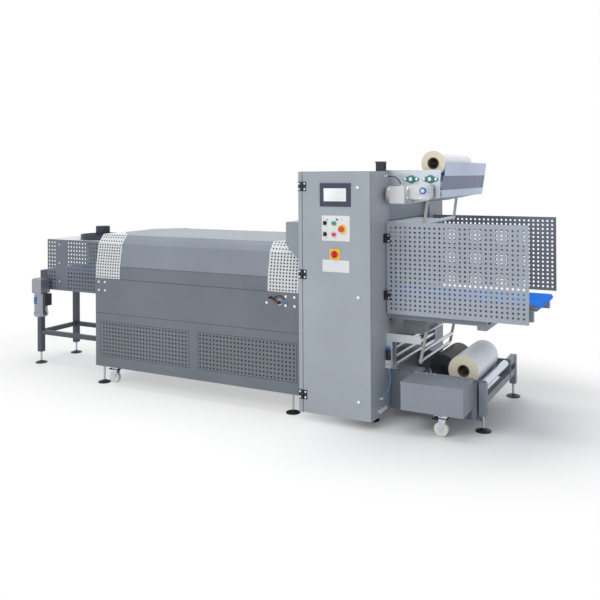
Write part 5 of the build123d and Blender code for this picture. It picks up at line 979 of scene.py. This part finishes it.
# Stage: pale floor, white surroundings and soft studio light
floor_mesh = bpy.data.meshes.new("floor")
floor_mesh.from_pydata([(-60, -60, 0), (60, -60, 0), (60, 60, 0), (-60, 60, 0)], [], [(0, 1, 2, 3)])
floor = bpy.data.objects.new("floor", floor_mesh)
bpy.context.scene.collection.objects.link(floor)
look = Nodes("floor_white")
look.shader.inputs["Base Color"].default_value = (0.93, 0.93, 0.93, 1)
look.shader.inputs["Roughness"].default_value = 0.85
look.shader.inputs["Specular IOR Level"].default_value = 0.1


def floor_math(operation, first, second):
    """One step of arithmetic on linked values or plain numbers."""
    node = look.add("ShaderNodeMath", operation=operation)
    for place, value in enumerate((first, second)):
        if isinstance(value, (int, float)):
            node.inputs[place].default_value = value
        else:
            look.link(value, node.inputs[place])
    return node.outputs[0]


def floor_ramp(value, start, end, low, high):
    """A value that runs from low to high between two places."""
    node = look.add("ShaderNodeMapRange", interpolation_type="SMOOTHSTEP")
    for socket, number in (("From Min", start), ("From Max", end), ("To Min", low), ("To Max", high)):
        node.inputs[socket].default_value = number
    look.link(value, node.inputs["Value"])
    return node.outputs["Result"]


across = floor_math("DIVIDE", look.position("X"), 3.1)
along = floor_math("DIVIDE", look.position("Y"), 1.75)
squares = floor_math("ADD", floor_math("POWER", across, 2.0), floor_math("POWER", along, 2.0))
away = floor_math("SQRT", squares, 0.0)
fade = floor_ramp(away, 0.85, 1.3, 0.0, 1.0)
# Left of X 0.7 m half the floor's look is white glow for camera rays, fading out by X 1.4 m: painted light
# that lightens the object's shadow there
left_shadow_lift = floor_ramp(look.position("X"), 0.7, 1.4, 0.5, 0.0)
white = floor_math("MAXIMUM", fade, left_shadow_lift)
rays = look.add("ShaderNodeLightPath")
seen = floor_math("MAXIMUM", rays.outputs["Is Camera Ray"], rays.outputs["Is Glossy Ray"])
seen = floor_math("MAXIMUM", seen, rays.outputs["Is Transmission Ray"])
glow = look.add("ShaderNodeEmission", Strength=1.0)
floor_mix = look.add("ShaderNodeMixShader")
look.link(floor_math("MULTIPLY", white, seen), floor_mix.inputs[0])
look.link(look.shader.outputs["BSDF"], floor_mix.inputs[1])
look.link(glow.outputs[0], floor_mix.inputs[2])
look.link(floor_mix.outputs[0], look.out.inputs["Surface"])
floor_mesh.materials.append(look.material)

world = bpy.data.worlds.new("studio")
bpy.context.scene.world = world
world.use_nodes = True
tree = world.node_tree
tree.nodes.clear()
world_out = tree.nodes.new("ShaderNodeOutputWorld")
path = tree.nodes.new("ShaderNodeLightPath")
light_sky = tree.nodes.new("ShaderNodeBackground")
light_sky.inputs["Color"].default_value = (1.0, 1.0, 1.0, 1)
light_sky.inputs["Strength"].default_value = 0.5
white_sky = tree.nodes.new("ShaderNodeBackground")
white_sky.inputs["Color"].default_value = (1.0, 1.0, 1.0, 1)
white_sky.inputs["Strength"].default_value = 1.0
either = tree.nodes.new("ShaderNodeMath")
either.operation = "MAXIMUM"
tree.links.new(path.outputs["Is Camera Ray"], either.inputs[0])
other = tree.nodes.new("ShaderNodeMath")
other.operation = "MAXIMUM"
tree.links.new(path.outputs["Is Glossy Ray"], other.inputs[0])
tree.links.new(path.outputs["Is Transmission Ray"], other.inputs[1])
tree.links.new(other.outputs[0], either.inputs[1])
mix = tree.nodes.new("ShaderNodeMixShader")
tree.links.new(either.outputs[0], mix.inputs[0])
tree.links.new(light_sky.outputs[0], mix.inputs[1])
tree.links.new(white_sky.outputs[0], mix.inputs[2])
tree.links.new(mix.outputs[0], world_out.inputs["Surface"])


def lamp(name, place, target, size, power):
    """A square soft box that looks at a point, both in metres of the scene."""
    data = bpy.data.lights.new(name, "AREA")
    data.shape = "SQUARE"
    data.size = size
    data.energy = power
    light = bpy.data.objects.new(name, data)
    bpy.context.scene.collection.objects.link(light)
    light.location = place
    light.rotation_euler = (Vector(target) - Vector(place)).to_track_quat("-Z", "Y").to_euler()


lamp("key", (-1.5, -7.0, 6.0), (0, 0, 0.8), 4.0, 215)
lamp("fill", (4.5, -6.0, 3.5), (0.8, 0, 0.9), 4.0, 40)
lamp("top", (0.0, 0.5, 6.5), (0, 0, 0), 5.0, 240)

view_settings = bpy.context.scene.view_settings
view_settings.view_transform = "Standard"
